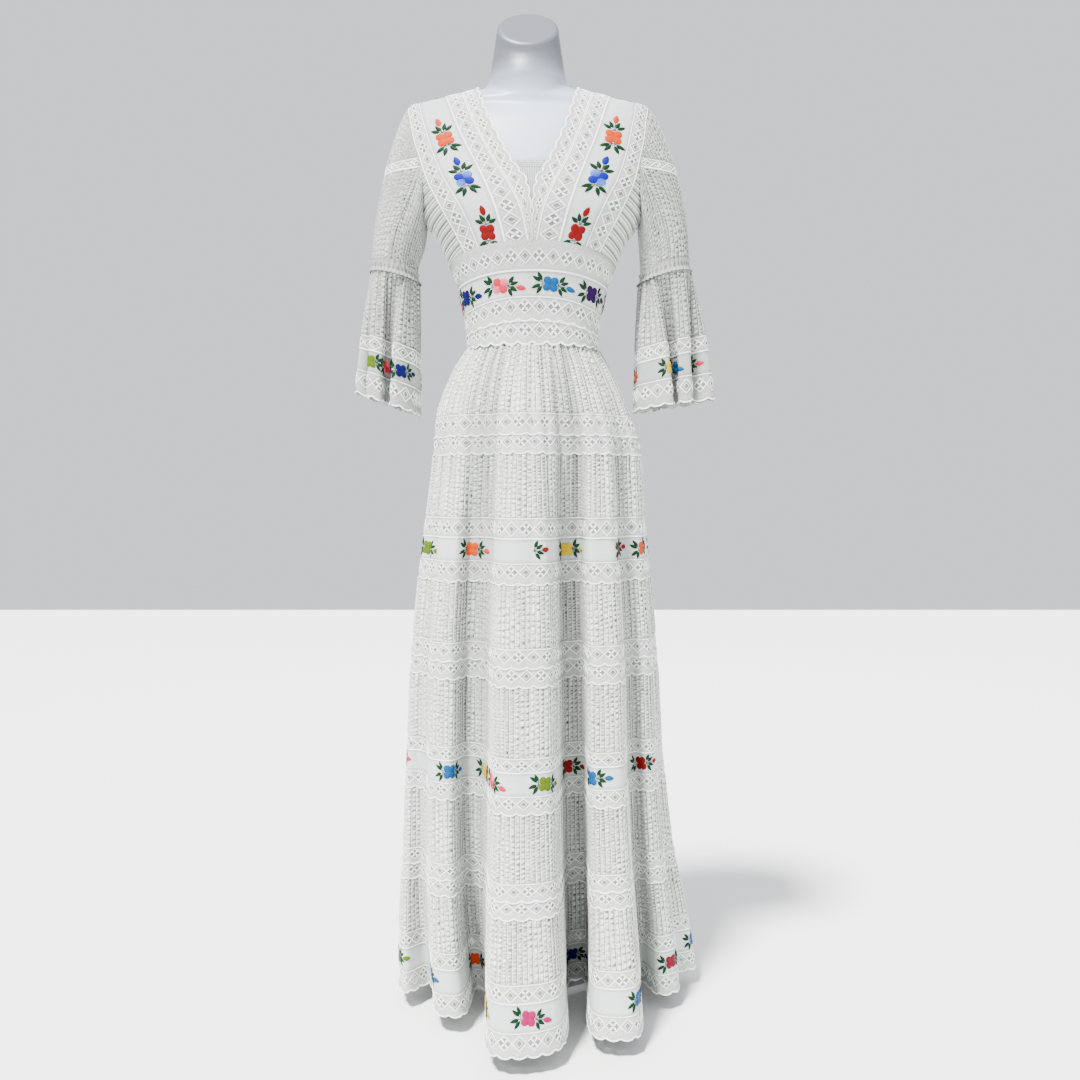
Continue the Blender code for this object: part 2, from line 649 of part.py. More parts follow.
def build_back_centre():
    """Two tucked panels between the back neck and the midriff."""
    top = np.array(BACK_NECK)[1:][::-1]
    top_x = top[:, 2] + HALF_SEAM
    top_angle = top[:, 3] + BACK_NECK_GAP
    top_x[-1], top_angle[-1] = BACK_CORNER
    across = np.linspace(0, 1, len(top))[None]
    right_angle = np.array([rise for rise in RISES[::-1] if rise > top_angle[-1]] + [top_angle[-1]])
    right_x = strip["edging"](right_angle) - HALF_SEAM
    right_x[-1] = top_x[-1]
    up = ((180 - right_angle) / (180 - right_angle[-1]))[:, None]
    low_x = HALF_SEAM + (right_x[0] - HALF_SEAM) * across
    left_angle = 180 + (top_angle[0] - 180) * up
    x = low_x * (1 - up) + top_x * up
    x = x + (right_x[:, None] - low_x[0, -1] * (1 - up) - top_x[-1] * up) * across
    angle = 180 * (1 - up) + top_angle * up
    angle = angle + (left_angle - 180 * (1 - up) - top_angle[0] * up) * (1 - across)
    angle = angle + (right_angle[:, None] - 180 * (1 - up) - top_angle[-1] * up) * across
    points = over_shoulder(x, angle)
    add_cloth("back_centre_right", "tucked", points)
    add_cloth("back_centre_left", "tucked", mirror(points))


def armhole_curve(z, back):
    """Points of the armhole edge below the join, at heights."""
    reach = armhole["reach"](z)
    depth = body["back"](z) if back else -body["front"](z)
    flat = np.clip(1 - (reach / body["half_width"](z)) ** SECTION_POWER, 0, 1) ** (1 / SECTION_POWER)
    return np.stack([reach, depth * flat, z + 0 * reach], axis=-1)


def to_turn(points):
    """Turn and height of surface points, for laying out the side panels."""
    share = np.clip(np.abs(points[..., 0]) / body["half_width"](points[..., 2]), 0, 1)
    turn = np.arcsin(share ** (SECTION_POWER / 2))
    turn = np.where(points[..., 1] > 0, math.pi - turn, turn)
    return np.stack([turn, points[..., 2]], axis=-1)


def side_panel(back, parts):
    """A side panel between the outer lace, the midriff, the side seam and the armhole."""
    rise = np.array([r for r in RISES if (r >= JOIN_BACK if back else r <= JOIN_FRONT)], dtype=float)
    if back:
        rise = rise[::-1]
    up = np.linspace(0, 1, len(rise))
    across = np.linspace(0, 1, len(ARMHOLE))
    inner_edge = to_turn(over_shoulder(strip["outer"](rise) + HALF_SEAM, rise))
    name, look, side, rise_top, low_side, low_rise = MIDRIFF[0]
    foot = side + BASE_GAP
    seam_turn = math.pi / 2 + (HALF_SEAM if back else -HALF_SEAM) / ARMHOLE[0][1]
    side_edge = np.stack([np.full(len(up), seam_turn), foot + (ARMHOLE[0][0] - foot) * up], axis=-1)
    heights = column(ARMHOLE, ARMHOLE_COLUMNS, "height")[::-1]
    top_edge = to_turn(armhole_curve(heights, back))
    top_edge[0] = inner_edge[-1]
    top_edge[-1] = side_edge[-1]
    low_turn = inner_edge[0, 0] + (side_edge[0, 0] - inner_edge[0, 0]) * across
    low_z = np.full(len(across), side)
    if not back:
        for repeat in range(6):
            low_z = arch(around(low_turn, low_z)[:, 0], side, rise_top)
    low_edge = np.stack([low_turn, low_z + BASE_GAP], axis=-1)
    low_edge[0] = inner_edge[0]
    a = across[None, :, None]
    u = up[:, None, None]
    grid = (1 - u) * low_edge[None] + u * top_edge[None]
    grid = grid + (1 - a) * inner_edge[:, None] + a * side_edge[:, None]
    grid = grid - (1 - u) * ((1 - a) * low_edge[0] + a * low_edge[-1])
    grid = grid - u * ((1 - a) * top_edge[0] + a * top_edge[-1])
    points = around(grid[..., 0], grid[..., 1])
    step = np.arange(parts * (len(up) - 1) + 1) / parts
    low = np.minimum(step.astype(int), len(up) - 2)
    share = (step - low)[:, None, None]
    return points[low] * (1 - share) + points[low + 1] * share


def build_side_panels():
    """Front side panels with raised bust tucks, and plain ones behind."""
    front = side_panel(False, 2 * TUCKS_PER_ROW)
    raised = np.zeros(front.shape[:2])
    raised[1::2, 1:-1] = TUCK_RAISE
    add_cloth("front_side_right", "tucked", front, raised)
    add_cloth("front_side_left", "tucked", mirror(front), raised)
    back = side_panel(True, 1)
    add_cloth("back_side_right", "tucked", back)
    add_cloth("back_side_left", "tucked", mirror(back))


def build_modesty():
    """The tucked inset behind the foot of the V."""
    rises = np.array(INSET)[:, :1]
    x = np.array(INSET)[:, 1:] * np.linspace(-1, 1, 5)
    points = over_shoulder(x, rises)
    points = points - outward(points) * INSET_BEHIND
    add_piece("modesty_inset", "plain", place(points), place(points - outward(points) * WALL))


def build_placket():
    """A narrow lapped strip down the centre back seam, over the panels and midriff."""
    share = np.array([-1.0, 0.0, 1.0])
    rises = np.linspace(BACK_NECK[-1][3] + 1.6, 178.0, 6)
    bodice = over_shoulder(0.0085 * share[None] + 0 * rises[:, None], rises[:, None] + 0 * share[None])
    heights = np.linspace(1.132, 1.046, 5)
    turn = math.pi - 0.0085 * share / 0.083
    midriff = around(turn[None] + 0 * heights[:, None], heights[:, None] + 0 * share[None])
    midriff[..., 0] = 0.0085 * share
    points = np.concatenate([bodice, midriff])
    normals = np.zeros(points.shape)
    normals[:] = outward(points[:, 1:2])
    add_piece("back_placket", "plain", place(points + normals * (SEAM + 2 * WALL)),
              place(points + normals * (SEAM + WALL)))


def sleeve_columns():
    """Armhole points in order: underarm, front, over the ridge, back, on the right side."""
    low = column(ARMHOLE, ARMHOLE_COLUMNS, "height")
    front = armhole_curve(low[:-1], False)
    front[0, 1] = 0
    ridge = np.array([rise for rise in RISES if JOIN_FRONT <= rise <= JOIN_BACK], dtype=float)
    top = over_shoulder(strip["outer"](ridge), ridge)
    back = armhole_curve(low[1:-1][::-1], True)
    return np.concatenate([front, top, back])


def sleeve_surface(start, row):
    """A function from share of drop to sleeve points, for each armhole point."""
    side, inner, outer, half_depth, slope, hem_slope, out = row
    centre = (inner + outer) / 2
    half = (outer - inner) / 2
    around_start = np.arctan2(start[:, 1], start[:, 2] - 1.300)
    turn = around_start + 0
    end = np.stack([centre + half * np.cos(turn), half_depth * np.sin(turn), 0 * turn], axis=-1)
    end[:, 2] = ELBOW_HEIGHT + slope * (end[:, 0] - centre)
    low = start[:, 2].min()
    lift = (start[:, 2] - low) / (start[:, 2].max() - low)
    from_start = np.stack([out * lift, 0 * lift, -SLEEVE_DROP - 0.1 * (1 - lift)], axis=-1)
    to_end = np.stack([0 * lift, 0 * lift, -SLEEVE_PULL * (0.35 + 0.65 * lift)], axis=-1)

    def read(share):
        t = np.asarray(share, dtype=float)[..., None]
        t2 = t * t
        t3 = t2 * t
        value = (2 * t3 - 3 * t2 + 1) * start + (t3 - 2 * t2 + t) * from_start
        return value + (3 * t2 - 2 * t3) * end + (t3 - t2) * to_end

    return read, centre, half


def share_at_height(read, height, count):
    """Share of drop at which each column comes down to a height."""
    near = np.zeros(count)
    far = np.ones(count)
    for repeat in range(40):
        middle = (near + far) / 2
        above = read(middle)[:, 2] > height
        near = np.where(above, middle, near)
        far = np.where(above, far, middle)
    return near


def grid_wall(points, closed, level_rows):
    """Inner points of a wall, moved in along the grid's own normals, level in the named rows."""
    if closed:
        along = np.roll(points, -1, axis=1) - np.roll(points, 1, axis=1)
    else:
        along = np.gradient(points, axis=1)
    normals = unit(np.cross(along, np.gradient(points, axis=0)))
    normals[level_rows, :, 2] = 0
    return points - unit(normals) * WALL


def sleeve_piece(name, look, points, row, closed, level_rows, clear_rows=()):
    """One piece of a sleeve from its rows of points, top row first."""
    side = row[SLEEVE_COLUMNS.index("side")]
    inside = grid_wall(points[::-1], closed, [len(points) - 1 - index for index in level_rows])[::-1]
    for index in clear_rows:
        inside[index, :, 0] = np.maximum(inside[index, :, 0], points[index, :, 0])
    if side == "left":
        points = mirror(points)
        inside = mirror(inside)
    add_piece(name + "_" + side, look, place(points), place(inside), closed)


def build_sleeve(row):
    """Cap, lace, lower sleeve, elbow band and flounce of one sleeve."""
    side, inner, outer, half_depth, slope, hem_slope, out = row
    start = sleeve_columns() + np.array([SEAM, 0.0, 0.0])
    read, centre, half = sleeve_surface(start, row)
    first = len(ARMHOLE) - 1
    last = len(start) - first

    def edge_row(height, share_from):
        share = share_at_height(read, height, len(start))
        points = read(share * share_from)
        for end, below in ((first, first - 1), (last, last + 1)):
            reach = (height - start[below, 2]) / (start[end, 2] - start[below, 2])
            edge = start[below] + (start[end] - start[below]) * reach
            points[end] = start[end] + (edge - start[end]) * share_from
        return points

    cap = slice(first, last + 1)
    rows = [edge_row(ARM_LACE_TOP + HALF_SEAM, share)[cap] for share in np.linspace(0, 1, 4)]
    sleeve_piece("sleeve_cap", "tucked", np.stack(rows), row, False, [], [0])
    rows = [edge_row(ARM_LACE_TOP - HALF_SEAM, 1.0)[cap], edge_row(ARM_LACE_LOW + HALF_SEAM, 1.0)[cap]]
    sleeve_piece("sleeve_lace", "lace", np.stack(rows), row, False, [])

    begin = share_at_height(read, ARM_LACE_LOW - HALF_SEAM, len(start))
    begin[:first + 1] = 0
    begin[last:] = 0
    rows = [read(begin + (1 - begin) * share) for share in np.linspace(0, 1, SLEEVE_ROWS)]
    top = edge_row(ARM_LACE_LOW - HALF_SEAM, 1.0)
    for index in (first, last):
        for level, share in enumerate(np.linspace(0, 1, SLEEVE_ROWS)):
            rows[level][index] += (top[index] - start[index]) * (1 - share)
    sleeve_piece("sleeve_lower", "tucked", np.stack(rows), row, True, [SLEEVE_ROWS - 1], [0])

    band = [rows[-1] - np.array([0.0, 0.0, SEAM]), rows[-1] - np.array([0.0, 0.0, ELBOW_BAND - SEAM])]
    sleeve_piece("sleeve_elbow", "lace", np.stack(band), row, True, [0, 1])
    build_flounce(row, centre, half)


def build_flounce(row, centre, half):
    """Gathered flounce, lace, embroidered band and scalloped edging of one sleeve."""
    side, inner, outer, half_depth, slope, hem_slope, out = row
    hem = fold_outline(SLEEVE_FOLDS[side], SLEEVE_FOLD_COLUMNS, SLEEVE_POINTS_PER_FOLD)
    turn = np.unwrap(np.arctan2(hem[:, 1], hem[:, 0] - hem[:, 0].mean()))
    turn = turn[0] + np.linspace(0, 2 * math.pi, len(hem), endpoint=False) * np.sign(turn[-1] - turn[0])
    top = FLOUNCE[0][2]
    low = FLOUNCE[-1][3]
    start = np.stack([centre + (half + FLOUNCE_OUT) * np.cos(turn), (half_depth + FLOUNCE_OUT) * np.sin(turn)], axis=-1)

    def ring(height):
        share = (top - height) / (top - low)
        plan = start + (hem - start) * (share * (1.6 - 0.6 * share))
        tilt = slope + (hem_slope - slope) * share
        z = height + tilt * (plan[:, 0] - centre)
        return np.column_stack([plan, z])

    for name, look, piece_top, piece_low in FLOUNCE:
        heights = [piece_top - HALF_SEAM, piece_low + HALF_SEAM]
        if name == "flounce":
            heights.insert(1, piece_top - (piece_top - piece_low) * 0.4)
        rows = np.stack([ring(height) for height in heights])
        if name == "flounce":
            wave = np.where(np.arange(rows.shape[1]) % 2 == 0, FLOUNCE_GATHER, 0.0)
            rows[0, :, 0] += wave * np.cos(turn)
            rows[0, :, 1] += wave * np.sin(turn)
        sleeve_piece("sleeve_" + name, look, rows, row, True, list(range(len(rows))))


def build_form():
    """The limbless dress form: hips, waist, bust, shoulders, neck and slanted top."""
    rings = []
    turn = np.arange(FORM_SEGMENTS) * 2 * math.pi / FORM_SEGMENTS
    power = 2 / SECTION_POWER
    sine = np.sign(np.sin(turn)) * np.abs(np.sin(turn)) ** power
    cosine = np.sign(np.cos(turn)) * np.abs(np.cos(turn)) ** power
    shoulders = [(z - FORM_CLEAR, w - FORM_CLEAR, f - FORM_CLEAR, b - FORM_CLEAR)
                 for z, w, f, b in BODY if z >= SHOULDER_FROM]
    for z, width, front, back in FORM + tuple(shoulders):
        depth = np.where(cosine > 0, front, back)
        x = width * sine
        y = -depth * cosine
        if z >= NECK_BLEND_FROM:
            inside = np.hypot(x / NECK[0][2], y / NECK[0][3])
            grow = (1 + (1 / inside) ** NECK_BLEND) ** (1 / NECK_BLEND)
            x = x * grow
            y = y * grow
        ring = np.stack([x, y, np.full(len(turn), z)], axis=-1)
        ring[:, 0] += lean(ring[:, 2])
        rings.append(ring)
    for z, forward, width, depth, tilt in NECK:
        slope = math.radians(tilt)
        x = width * np.sin(turn) + LEAN
        y = -forward - depth * np.cos(turn) * math.cos(slope)
        height = z - depth * np.cos(turn) * math.sin(slope)
        rings.append(np.stack([x, y, height], axis=-1))
    mesh = bmesh.new()
    points = np.stack(rings) + np.array([AXIS_X, AXIS_Y, 0.0])
    add_sheet(mesh, np.concatenate([points, points[:, :1]], axis=1))
    for ring in (points[0], points[-1]):
        middle = np.repeat(ring.mean(axis=0)[None], FORM_SEGMENTS + 1, axis=0)
        closed = np.concatenate([ring, ring[:1]])
        add_sheet(mesh, np.stack([closed, middle]))
    bmesh.ops.remove_doubles(mesh, verts=mesh.verts, dist=WELD)
    bmesh.ops.dissolve_degenerate(mesh, dist=WELD, edges=mesh.edges)
    finish(mesh, "dress_form", "form")


def build_stand():
    """A pole from the form down to a flat three-legged foot."""
    height = FORM[0][0] - SEAM - FOOT_THICK - SEAM
    mesh = bmesh.new()
    bmesh.ops.create_cone(mesh, cap_ends=True, cap_tris=False, segments=POLE_SIDES,
                          radius1=POLE_RADIUS, radius2=POLE_RADIUS, depth=height)
    bmesh.ops.translate(mesh, verts=mesh.verts,
                        vec=(AXIS_X, AXIS_Y + POLE_BACK, FOOT_THICK + SEAM + height / 2))
    finish(mesh, "stand_pole", "metal")
    outline = []
    for index, angle in enumerate(FOOT_ANGLES):
        facing = math.radians(angle)
        reach = FOOT_FRONT_REACH if index == 0 else FOOT_REACH
        for step in range(5):
            swing = facing + math.radians(-90 + 45 * step)
            outline.append((reach * math.sin(facing) + FOOT_END * math.sin(swing),
                            -reach * math.cos(facing) - FOOT_END * math.cos(swing)))
        following = math.radians(FOOT_ANGLES[(index + 1) % 3] + (360 if index == 2 else 0))
        middle = (facing + following) / 2
        for step in (-0.5, 0.0, 0.5):
            swing = middle + step
            outline.append((FOOT_HUB * math.sin(swing), -FOOT_HUB * math.cos(swing)))
    mesh = bmesh.new()
    bmesh.ops.create_circle(mesh, cap_ends=True, segments=len(outline), radius=1.0)
    for vertex, (x, y) in zip(mesh.verts, outline):
        vertex.co = (x + AXIS_X, y + AXIS_Y + POLE_BACK, 0.0)
    bmesh.ops.triangulate(mesh, faces=mesh.faces)
    lifted = bmesh.ops.extrude_face_region(mesh, geom=mesh.faces[:], use_keep_orig=True)
    top = [item for item in lifted["geom"] if isinstance(item, bmesh.types.BMVert)]
    bmesh.ops.translate(mesh, verts=top, vec=(0.0, 0.0, FOOT_THICK))
    finish(mesh, "stand_foot", "metal")


def main():
    """Clear the scene and build every piece."""
    for item in list(bpy.data.objects):
        bpy.data.objects.remove(item, do_unlink=True)
    build_skirt()
    build_midriff()
    build_strips()
    build_neck_edging()
    build_back_centre()
    build_side_panels()
    build_modesty()
    build_placket()
    for row in SLEEVES:
        build_sleeve(row)
    build_form()
    build_stand()


main()
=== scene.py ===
"""The looks of a long white cotton wedding dress on a dress form.

Metres, +Z up, the front faces -Y. Every sewn piece is laid on the surface that its solid follows:
tucks and puckers are raised in the cloth, lace is a net with raised cords, and the flowers
are satin stitch that stands on the bands.
"""

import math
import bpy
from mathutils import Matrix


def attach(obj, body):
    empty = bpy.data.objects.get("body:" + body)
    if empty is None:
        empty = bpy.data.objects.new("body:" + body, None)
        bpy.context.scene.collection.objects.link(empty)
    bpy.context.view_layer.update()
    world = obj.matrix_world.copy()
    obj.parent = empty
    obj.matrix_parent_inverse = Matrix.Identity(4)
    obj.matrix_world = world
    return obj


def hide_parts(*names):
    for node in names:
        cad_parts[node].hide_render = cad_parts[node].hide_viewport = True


bl_info = {
    "name": "Tucked lace wedding dress",
    "version": (1, 0, 0),
    "blender": (4, 5, 0),
    "location": "3D View > Sidebar > Dress",
    "description": "Builds a tucked white cotton dress with lace and embroidery on a dress form",
    "category": "Add Mesh",
}

import bmesh
import bpy
import numpy as np

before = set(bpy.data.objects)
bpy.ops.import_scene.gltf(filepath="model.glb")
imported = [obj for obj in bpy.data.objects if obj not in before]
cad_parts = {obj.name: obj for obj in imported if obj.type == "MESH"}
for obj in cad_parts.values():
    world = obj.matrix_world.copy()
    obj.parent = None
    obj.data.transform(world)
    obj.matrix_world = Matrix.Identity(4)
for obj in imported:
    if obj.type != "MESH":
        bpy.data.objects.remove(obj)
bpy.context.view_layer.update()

# Where the dress stands, and how the body leans towards the neck
AXIS_X = -0.0035
AXIS_Y = -0.0035
LEAN = -0.007
LEAN_FROM = 1.19
LEAN_TO = 1.40

# Bodice section: a rounded oval, half width and half depths for each height
SECTION_POWER = 2.3
BODY_COLUMNS = ("height", "half_width", "front", "back")
BODY = (
    (1.0000, 0.0990, 0.085, 0.078),
    (1.0225, 0.0995, 0.086, 0.079),
    (1.0600, 0.1020, 0.088, 0.081),
    (1.0870, 0.1080, 0.091, 0.083),
    (1.1100, 0.1130, 0.095, 0.085),
    (1.1470, 0.1260, 0.104, 0.088),
    (1.1880, 0.1440, 0.114, 0.092),
    (1.2160, 0.1640, 0.118, 0.094),
    (1.2500, 0.1770, 0.114, 0.096),
    (1.2800, 0.1860, 0.105, 0.097),
    (1.3300, 0.1900, 0.087, 0.092),
    (1.3600, 0.1880, 0.073, 0.083),
    (1.3850, 0.1830, 0.057, 0.068),
    (1.3950, 0.1500, 0.049, 0.058),
    (1.4050, 0.1100, 0.041, 0.050),
    (1.4125, 0.0850, 0.035, 0.043),
    (1.4180, 0.0660, 0.030, 0.037),
)

# Midriff bands, arched up at the front: name, look, and height and rise of the upper and the lower seam
MIDRIFF = (
    ("midriff_lace_upper", "lace", 1.1440, 0.0200, 1.1100, 0.0150),
    ("midriff_band", "plain", 1.1100, 0.0150, 1.0715, 0.0190),
    ("midriff_lace_lower", "edging", 1.0715, 0.0190, 1.0405, 0.0165),
    ("midriff_lace_scalloped", "edging", 1.0405, 0.0165, 1.0225, 0.0000),
)

# Bodice strips: how far each edge lies from the middle at each angle of rise
RIDGE_FROM = 1.330
BASE_GAP = 0.0008
STRIP_COLUMNS = ("angle", "neck", "edging", "insertion", "band", "outer")
STRIPS = (
    (0.0, 0.0000, 0.0040, 0.0400, 0.0760, 0.0980),
    (10.0, 0.0000, 0.0140, 0.0520, 0.0930, 0.1180),
    (19.5, 0.0040, 0.0320, 0.0660, 0.1110, 0.1380),
    (28.0, 0.0250, 0.0510, 0.0790, 0.1270, 0.1530),
    (39.74, 0.0450, 0.0700, 0.0960, 0.1420, 0.1645),
    (50.0, 0.0580, 0.0820, 0.1070, 0.1500, 0.1725),
    (62.0, 0.0670, 0.0910, 0.1160, 0.1570, 0.1770),
    (74.0, 0.0720, 0.0970, 0.1220, 0.1610, 0.1805),
    (90.0, 0.0750, 0.1000, 0.1250, 0.1630, 0.1822),
    (106.0, 0.0740, 0.1000, 0.1230, 0.1610, 0.1805),
    (118.0, 0.0720, 0.0960, 0.1180, 0.1560, 0.1770),
    (130.0, 0.0700, 0.0900, 0.1120, 0.1480, 0.1725),
    (140.26, 0.0680, 0.0800, 0.1030, 0.1370, 0.1645),
    (152.0, 0.0640, 0.0680, 0.0930, 0.1270, 0.1540),
    (160.5, 0.0600, 0.0560, 0.0820, 0.1160, 0.1410),
    (170.0, 0.0560, 0.0430, 0.0680, 0.1010, 0.1240),
    (180.0, 0.0520, 0.0300, 0.0530, 0.0840, 0.1050),
)
FIRST_RISE = 0.2
JOIN_FRONT = 39.74
JOIN_BACK = 140.26
BACK_NECK_COLUMNS = ("inner_x", "inner_angle", "outer_x", "outer_angle")
BACK_NECK = (
    (0.0750, 90.0, 0.1000, 90.0),
    (0.0745, 97.0, 0.1000, 98.0),
    (0.0700, 105.0, 0.0930, 110.0),
    (0.0560, 114.0, 0.0740, 120.0),
    (0.0300, 120.0, 0.0400, 128.0),
    (0.0000, 121.5, 0.0000, 131.5),
)
ARMHOLE_COLUMNS = ("height", "reach")
ARMHOLE = (
    (1.2160, 0.1640),
    (1.2320, 0.1630),
    (1.2580, 0.1600),
    (1.2780, 0.1612),
    (1.3025, 0.1645),
)

# Sleeves: where the elbow lies, how it slopes, and how far the shoulder stands out
SLEEVE_COLUMNS = ("side", "inner", "outer", "half_depth", "slope", "hem_slope", "out")
SLEEVES = (
    ("left", 0.1770, 0.2440, 0.050, 0.26, 0.36, 0.050),
    ("right", 0.1660, 0.2380, 0.050, 0.30, 0.16, 0.080),
)
ELBOW_HEIGHT = 1.1420
ELBOW_BAND = 0.0100
ARM_LACE_TOP = 1.3000
ARM_LACE_LOW = 1.2843
ARM_MIDDLE = 1.3000
ARMHOLE_GAP = 0.0003
SLEEVE_DROP = 0.080
SLEEVE_PULL = 0.300
# Flounce pieces and skirt pieces: name, look, upper and lower edge
FLOUNCE = (
    ("flounce", "tucked", 1.1320, 1.0300),
    ("flounce_lace", "lace", 1.0300, 1.0060),
    ("flounce_band", "plain", 1.0060, 0.9740),
    ("flounce_edging", "edging", 0.9740, 0.9370),
)
FLOUNCE_OUT = 0.0017
SLEEVE_FOLD_COLUMNS = ("crest_x", "crest_y", "crest_width", "valley_x", "valley_y", "valley_width")
SLEEVE_FOLDS = {
    "left": (
        (0.1950, -0.0560, 0.034, 0.2200, -0.0300, 0.008),
        (0.2380, -0.0500, 0.020, 0.2480, -0.0260, 0.006),
        (0.2680, -0.0120, 0.024, 0.2540, 0.0140, 0.008),
        (0.2450, 0.0470, 0.026, 0.2170, 0.0260, 0.010),
        (0.1900, 0.0480, 0.030, 0.1760, 0.0000, 0.020),
    ),
    "right": (
        (0.1830, -0.0590, 0.052, 0.2160, -0.0300, 0.008),
        (0.2290, -0.0550, 0.018, 0.2430, -0.0260, 0.006),
        (0.2740, -0.0150, 0.022, 0.2560, 0.0160, 0.008),
        (0.2400, 0.0540, 0.030, 0.2050, 0.0270, 0.012),
        (0.1760, 0.0520, 0.032, 0.1570, 0.0000, 0.020),
    ),
}

# Skirt, from the waist down
SKIRT = (
    ("skirt_tier_1", "tucked", 1.0225, 0.9190),
    ("skirt_lace_1_upper", "edging", 0.9190, 0.8890),
    ("skirt_lace_1_lower", "edging", 0.8890, 0.8620),
    ("skirt_tier_2", "tucked", 0.8620, 0.7680),
    ("skirt_lace_2_upper", "lace", 0.7680, 0.7370),
    ("skirt_band_1", "plain", 0.7370, 0.7040),
    ("skirt_lace_2_lower", "edging", 0.7040, 0.6750),
    ("skirt_tier_3", "tucked", 0.6750, 0.5830),
    ("skirt_lace_3_upper", "edging", 0.5830, 0.5565),
    ("skirt_lace_3_lower", "edging", 0.5565, 0.5300),
    ("skirt_tier_4", "tucked", 0.5300, 0.4290),
    ("skirt_lace_4_upper", "lace", 0.4290, 0.4070),
    ("skirt_band_2", "plain", 0.4070, 0.3760),
    ("skirt_lace_4_lower", "edging", 0.3760, 0.3515),
    ("skirt_tier_5", "tucked", 0.3515, 0.2550),
    ("skirt_lace_5_upper", "edging", 0.2550, 0.2315),
    ("skirt_lace_5_lower", "edging", 0.2315, 0.2080),
    ("skirt_tier_6", "tucked", 0.2080, 0.1220),
    ("skirt_lace_6_upper", "lace", 0.1220, 0.0960),
    ("skirt_band_3", "plain", 0.0960, 0.0605),
    ("hem_edging", "edging", 0.0605, 0.0300),
)
FLARE_COLUMNS = ("height", "left", "right", "front", "back", "fold", "ripple", "front_fold")
FLARE = (
    (1.0225, 0.0995, 0.0995, 0.086, 0.079, 0.00, 0.0000, 0.00),
    (0.9900, 0.1200, 0.1180, 0.100, 0.096, 0.02, 0.0022, 0.00),
    (0.9190, 0.1455, 0.1500, 0.124, 0.124, 0.07, 0.0026, 0.01),
    (0.8700, 0.1500, 0.1640, 0.132, 0.135, 0.10, 0.0018, 0.02),
    (0.7400, 0.1670, 0.1730, 0.142, 0.152, 0.16, 0.0012, 0.10),
    (0.5600, 0.1860, 0.1880, 0.149, 0.168, 0.25, 0.0010, 0.12),
    (0.4000, 0.1940, 0.1960, 0.156, 0.178, 0.36, 0.0008, 0.08),
    (0.2500, 0.2000, 0.2080, 0.166, 0.188, 0.53, 0.0006, 0.02),
    (0.1000, 0.2060, 0.2290, 0.183, 0.197, 0.84, 0.0004, 0.00),
    (0.0300, 0.2050, 0.2350, 0.190, 0.200, 1.00, 0.0003, 0.00),
)
RIPPLES = 37
RIPPLE_OVERTONE = 0.35
FRONT_STEEP = 1.9
FRONT_START = 0.55
HEM_HEIGHT = 0.0300
HEM_FOLD_COLUMNS = ("crest_x", "crest_y", "crest_width", "crest_from",
                    "valley_x", "valley_y", "valley_width", "valley_from")
HEM_FOLDS = (
    (-0.2040, 0.0000, 0.052, -92.0, -0.1620, 0.0040, 0.012, -72.0),
    (-0.1220, -0.1040, 0.032, -56.0, -0.0800, -0.0100, 0.022, -36.0),
    (-0.0080, -0.2200, 0.088, -12.0, 0.0700, 0.0200, 0.024, 17.0),
    (0.1190, -0.1740, 0.056, 32.0, 0.1700, 0.0140, 0.012, 52.0),
    (0.2120, -0.0240, 0.034, 66.0, 0.2290, 0.0480, 0.010, 80.0),
    (0.2600, 0.0850, 0.032, 96.0, 0.2080, 0.1120, 0.020, 112.0),
    (0.2000, 0.1930, 0.050, 130.0, 0.1340, 0.1500, 0.020, 146.0),
    (0.0940, 0.2240, 0.050, 160.0, 0.0360, 0.1620, 0.020, 172.0),
    (-0.0200, 0.2360, 0.052, 186.0, -0.0780, 0.1580, 0.020, 200.0),
    (-0.1240, 0.2100, 0.048, 213.0, -0.1480, 0.1360, 0.018, 226.0),
    (-0.1960, 0.1380, 0.044, 238.0, -0.1840, 0.0700, 0.014, 252.0),
)

# Dress form
NECK_BLEND = 14
NECK_BLEND_FROM = 1.3550
# Heights between which the form turns to the painted shade colour of its neck
NECK_SHADE_FROM = 1.3750
NECK_SHADE_TO = 1.4600
FORM_COLUMNS_ROUND = 97
FORM_RINGS = ((0.80, 0.815, 6), (0.82, 1.37, 56))
FORM_SHOULDER_RINGS = (1.374, 24)
FORM_BASE_SHARES = (0.001, 0.5, 0.9)
FORM_CAP_SHARES = (0.93, 0.7, 0.35, 0.001)
FORM_CLEAR = 0.0021
SHOULDER_FROM = 1.3950
FORM_COLUMNS = ("height", "half_width", "front", "back")
FORM = (
    (0.8000, 0.0900, 0.070, 0.075),
    (0.8030, 0.1060, 0.083, 0.088),
    (0.8150, 0.1160, 0.091, 0.096),
    (0.8600, 0.1240, 0.098, 0.104),
    (0.9100, 0.1220, 0.098, 0.102),
    (0.9600, 0.1080, 0.088, 0.090),
    (1.0100, 0.0930, 0.079, 0.073),
    (1.0600, 0.0920, 0.078, 0.071),
    (1.1100, 0.1020, 0.085, 0.075),
    (1.1600, 0.1200, 0.096, 0.080),
    (1.2150, 0.1420, 0.106, 0.085),
    (1.2700, 0.1590, 0.098, 0.084),
    (1.3200, 0.1690, 0.083, 0.081),
    (1.3550, 0.1720, 0.069, 0.072),
    (1.3740, 0.1690, 0.056, 0.062),
    (1.3850, 0.1600, 0.048, 0.055),
)
NECK_COLUMNS = ("height", "forward", "half_width", "half_depth", "tilt")
NECK = (
    (1.4240, 0.0000, 0.0610, 0.0520, 0.0),
    (1.4380, 0.0000, 0.0575, 0.0515, 8.0),
    (1.4620, 0.0010, 0.0535, 0.0500, 22.0),
    (1.4850, 0.0060, 0.0495, 0.0480, 38.0),
    (1.5010, 0.0150, 0.0460, 0.0450, 50.0),
    (1.5028, 0.0165, 0.0425, 0.0410, 50.0),
)

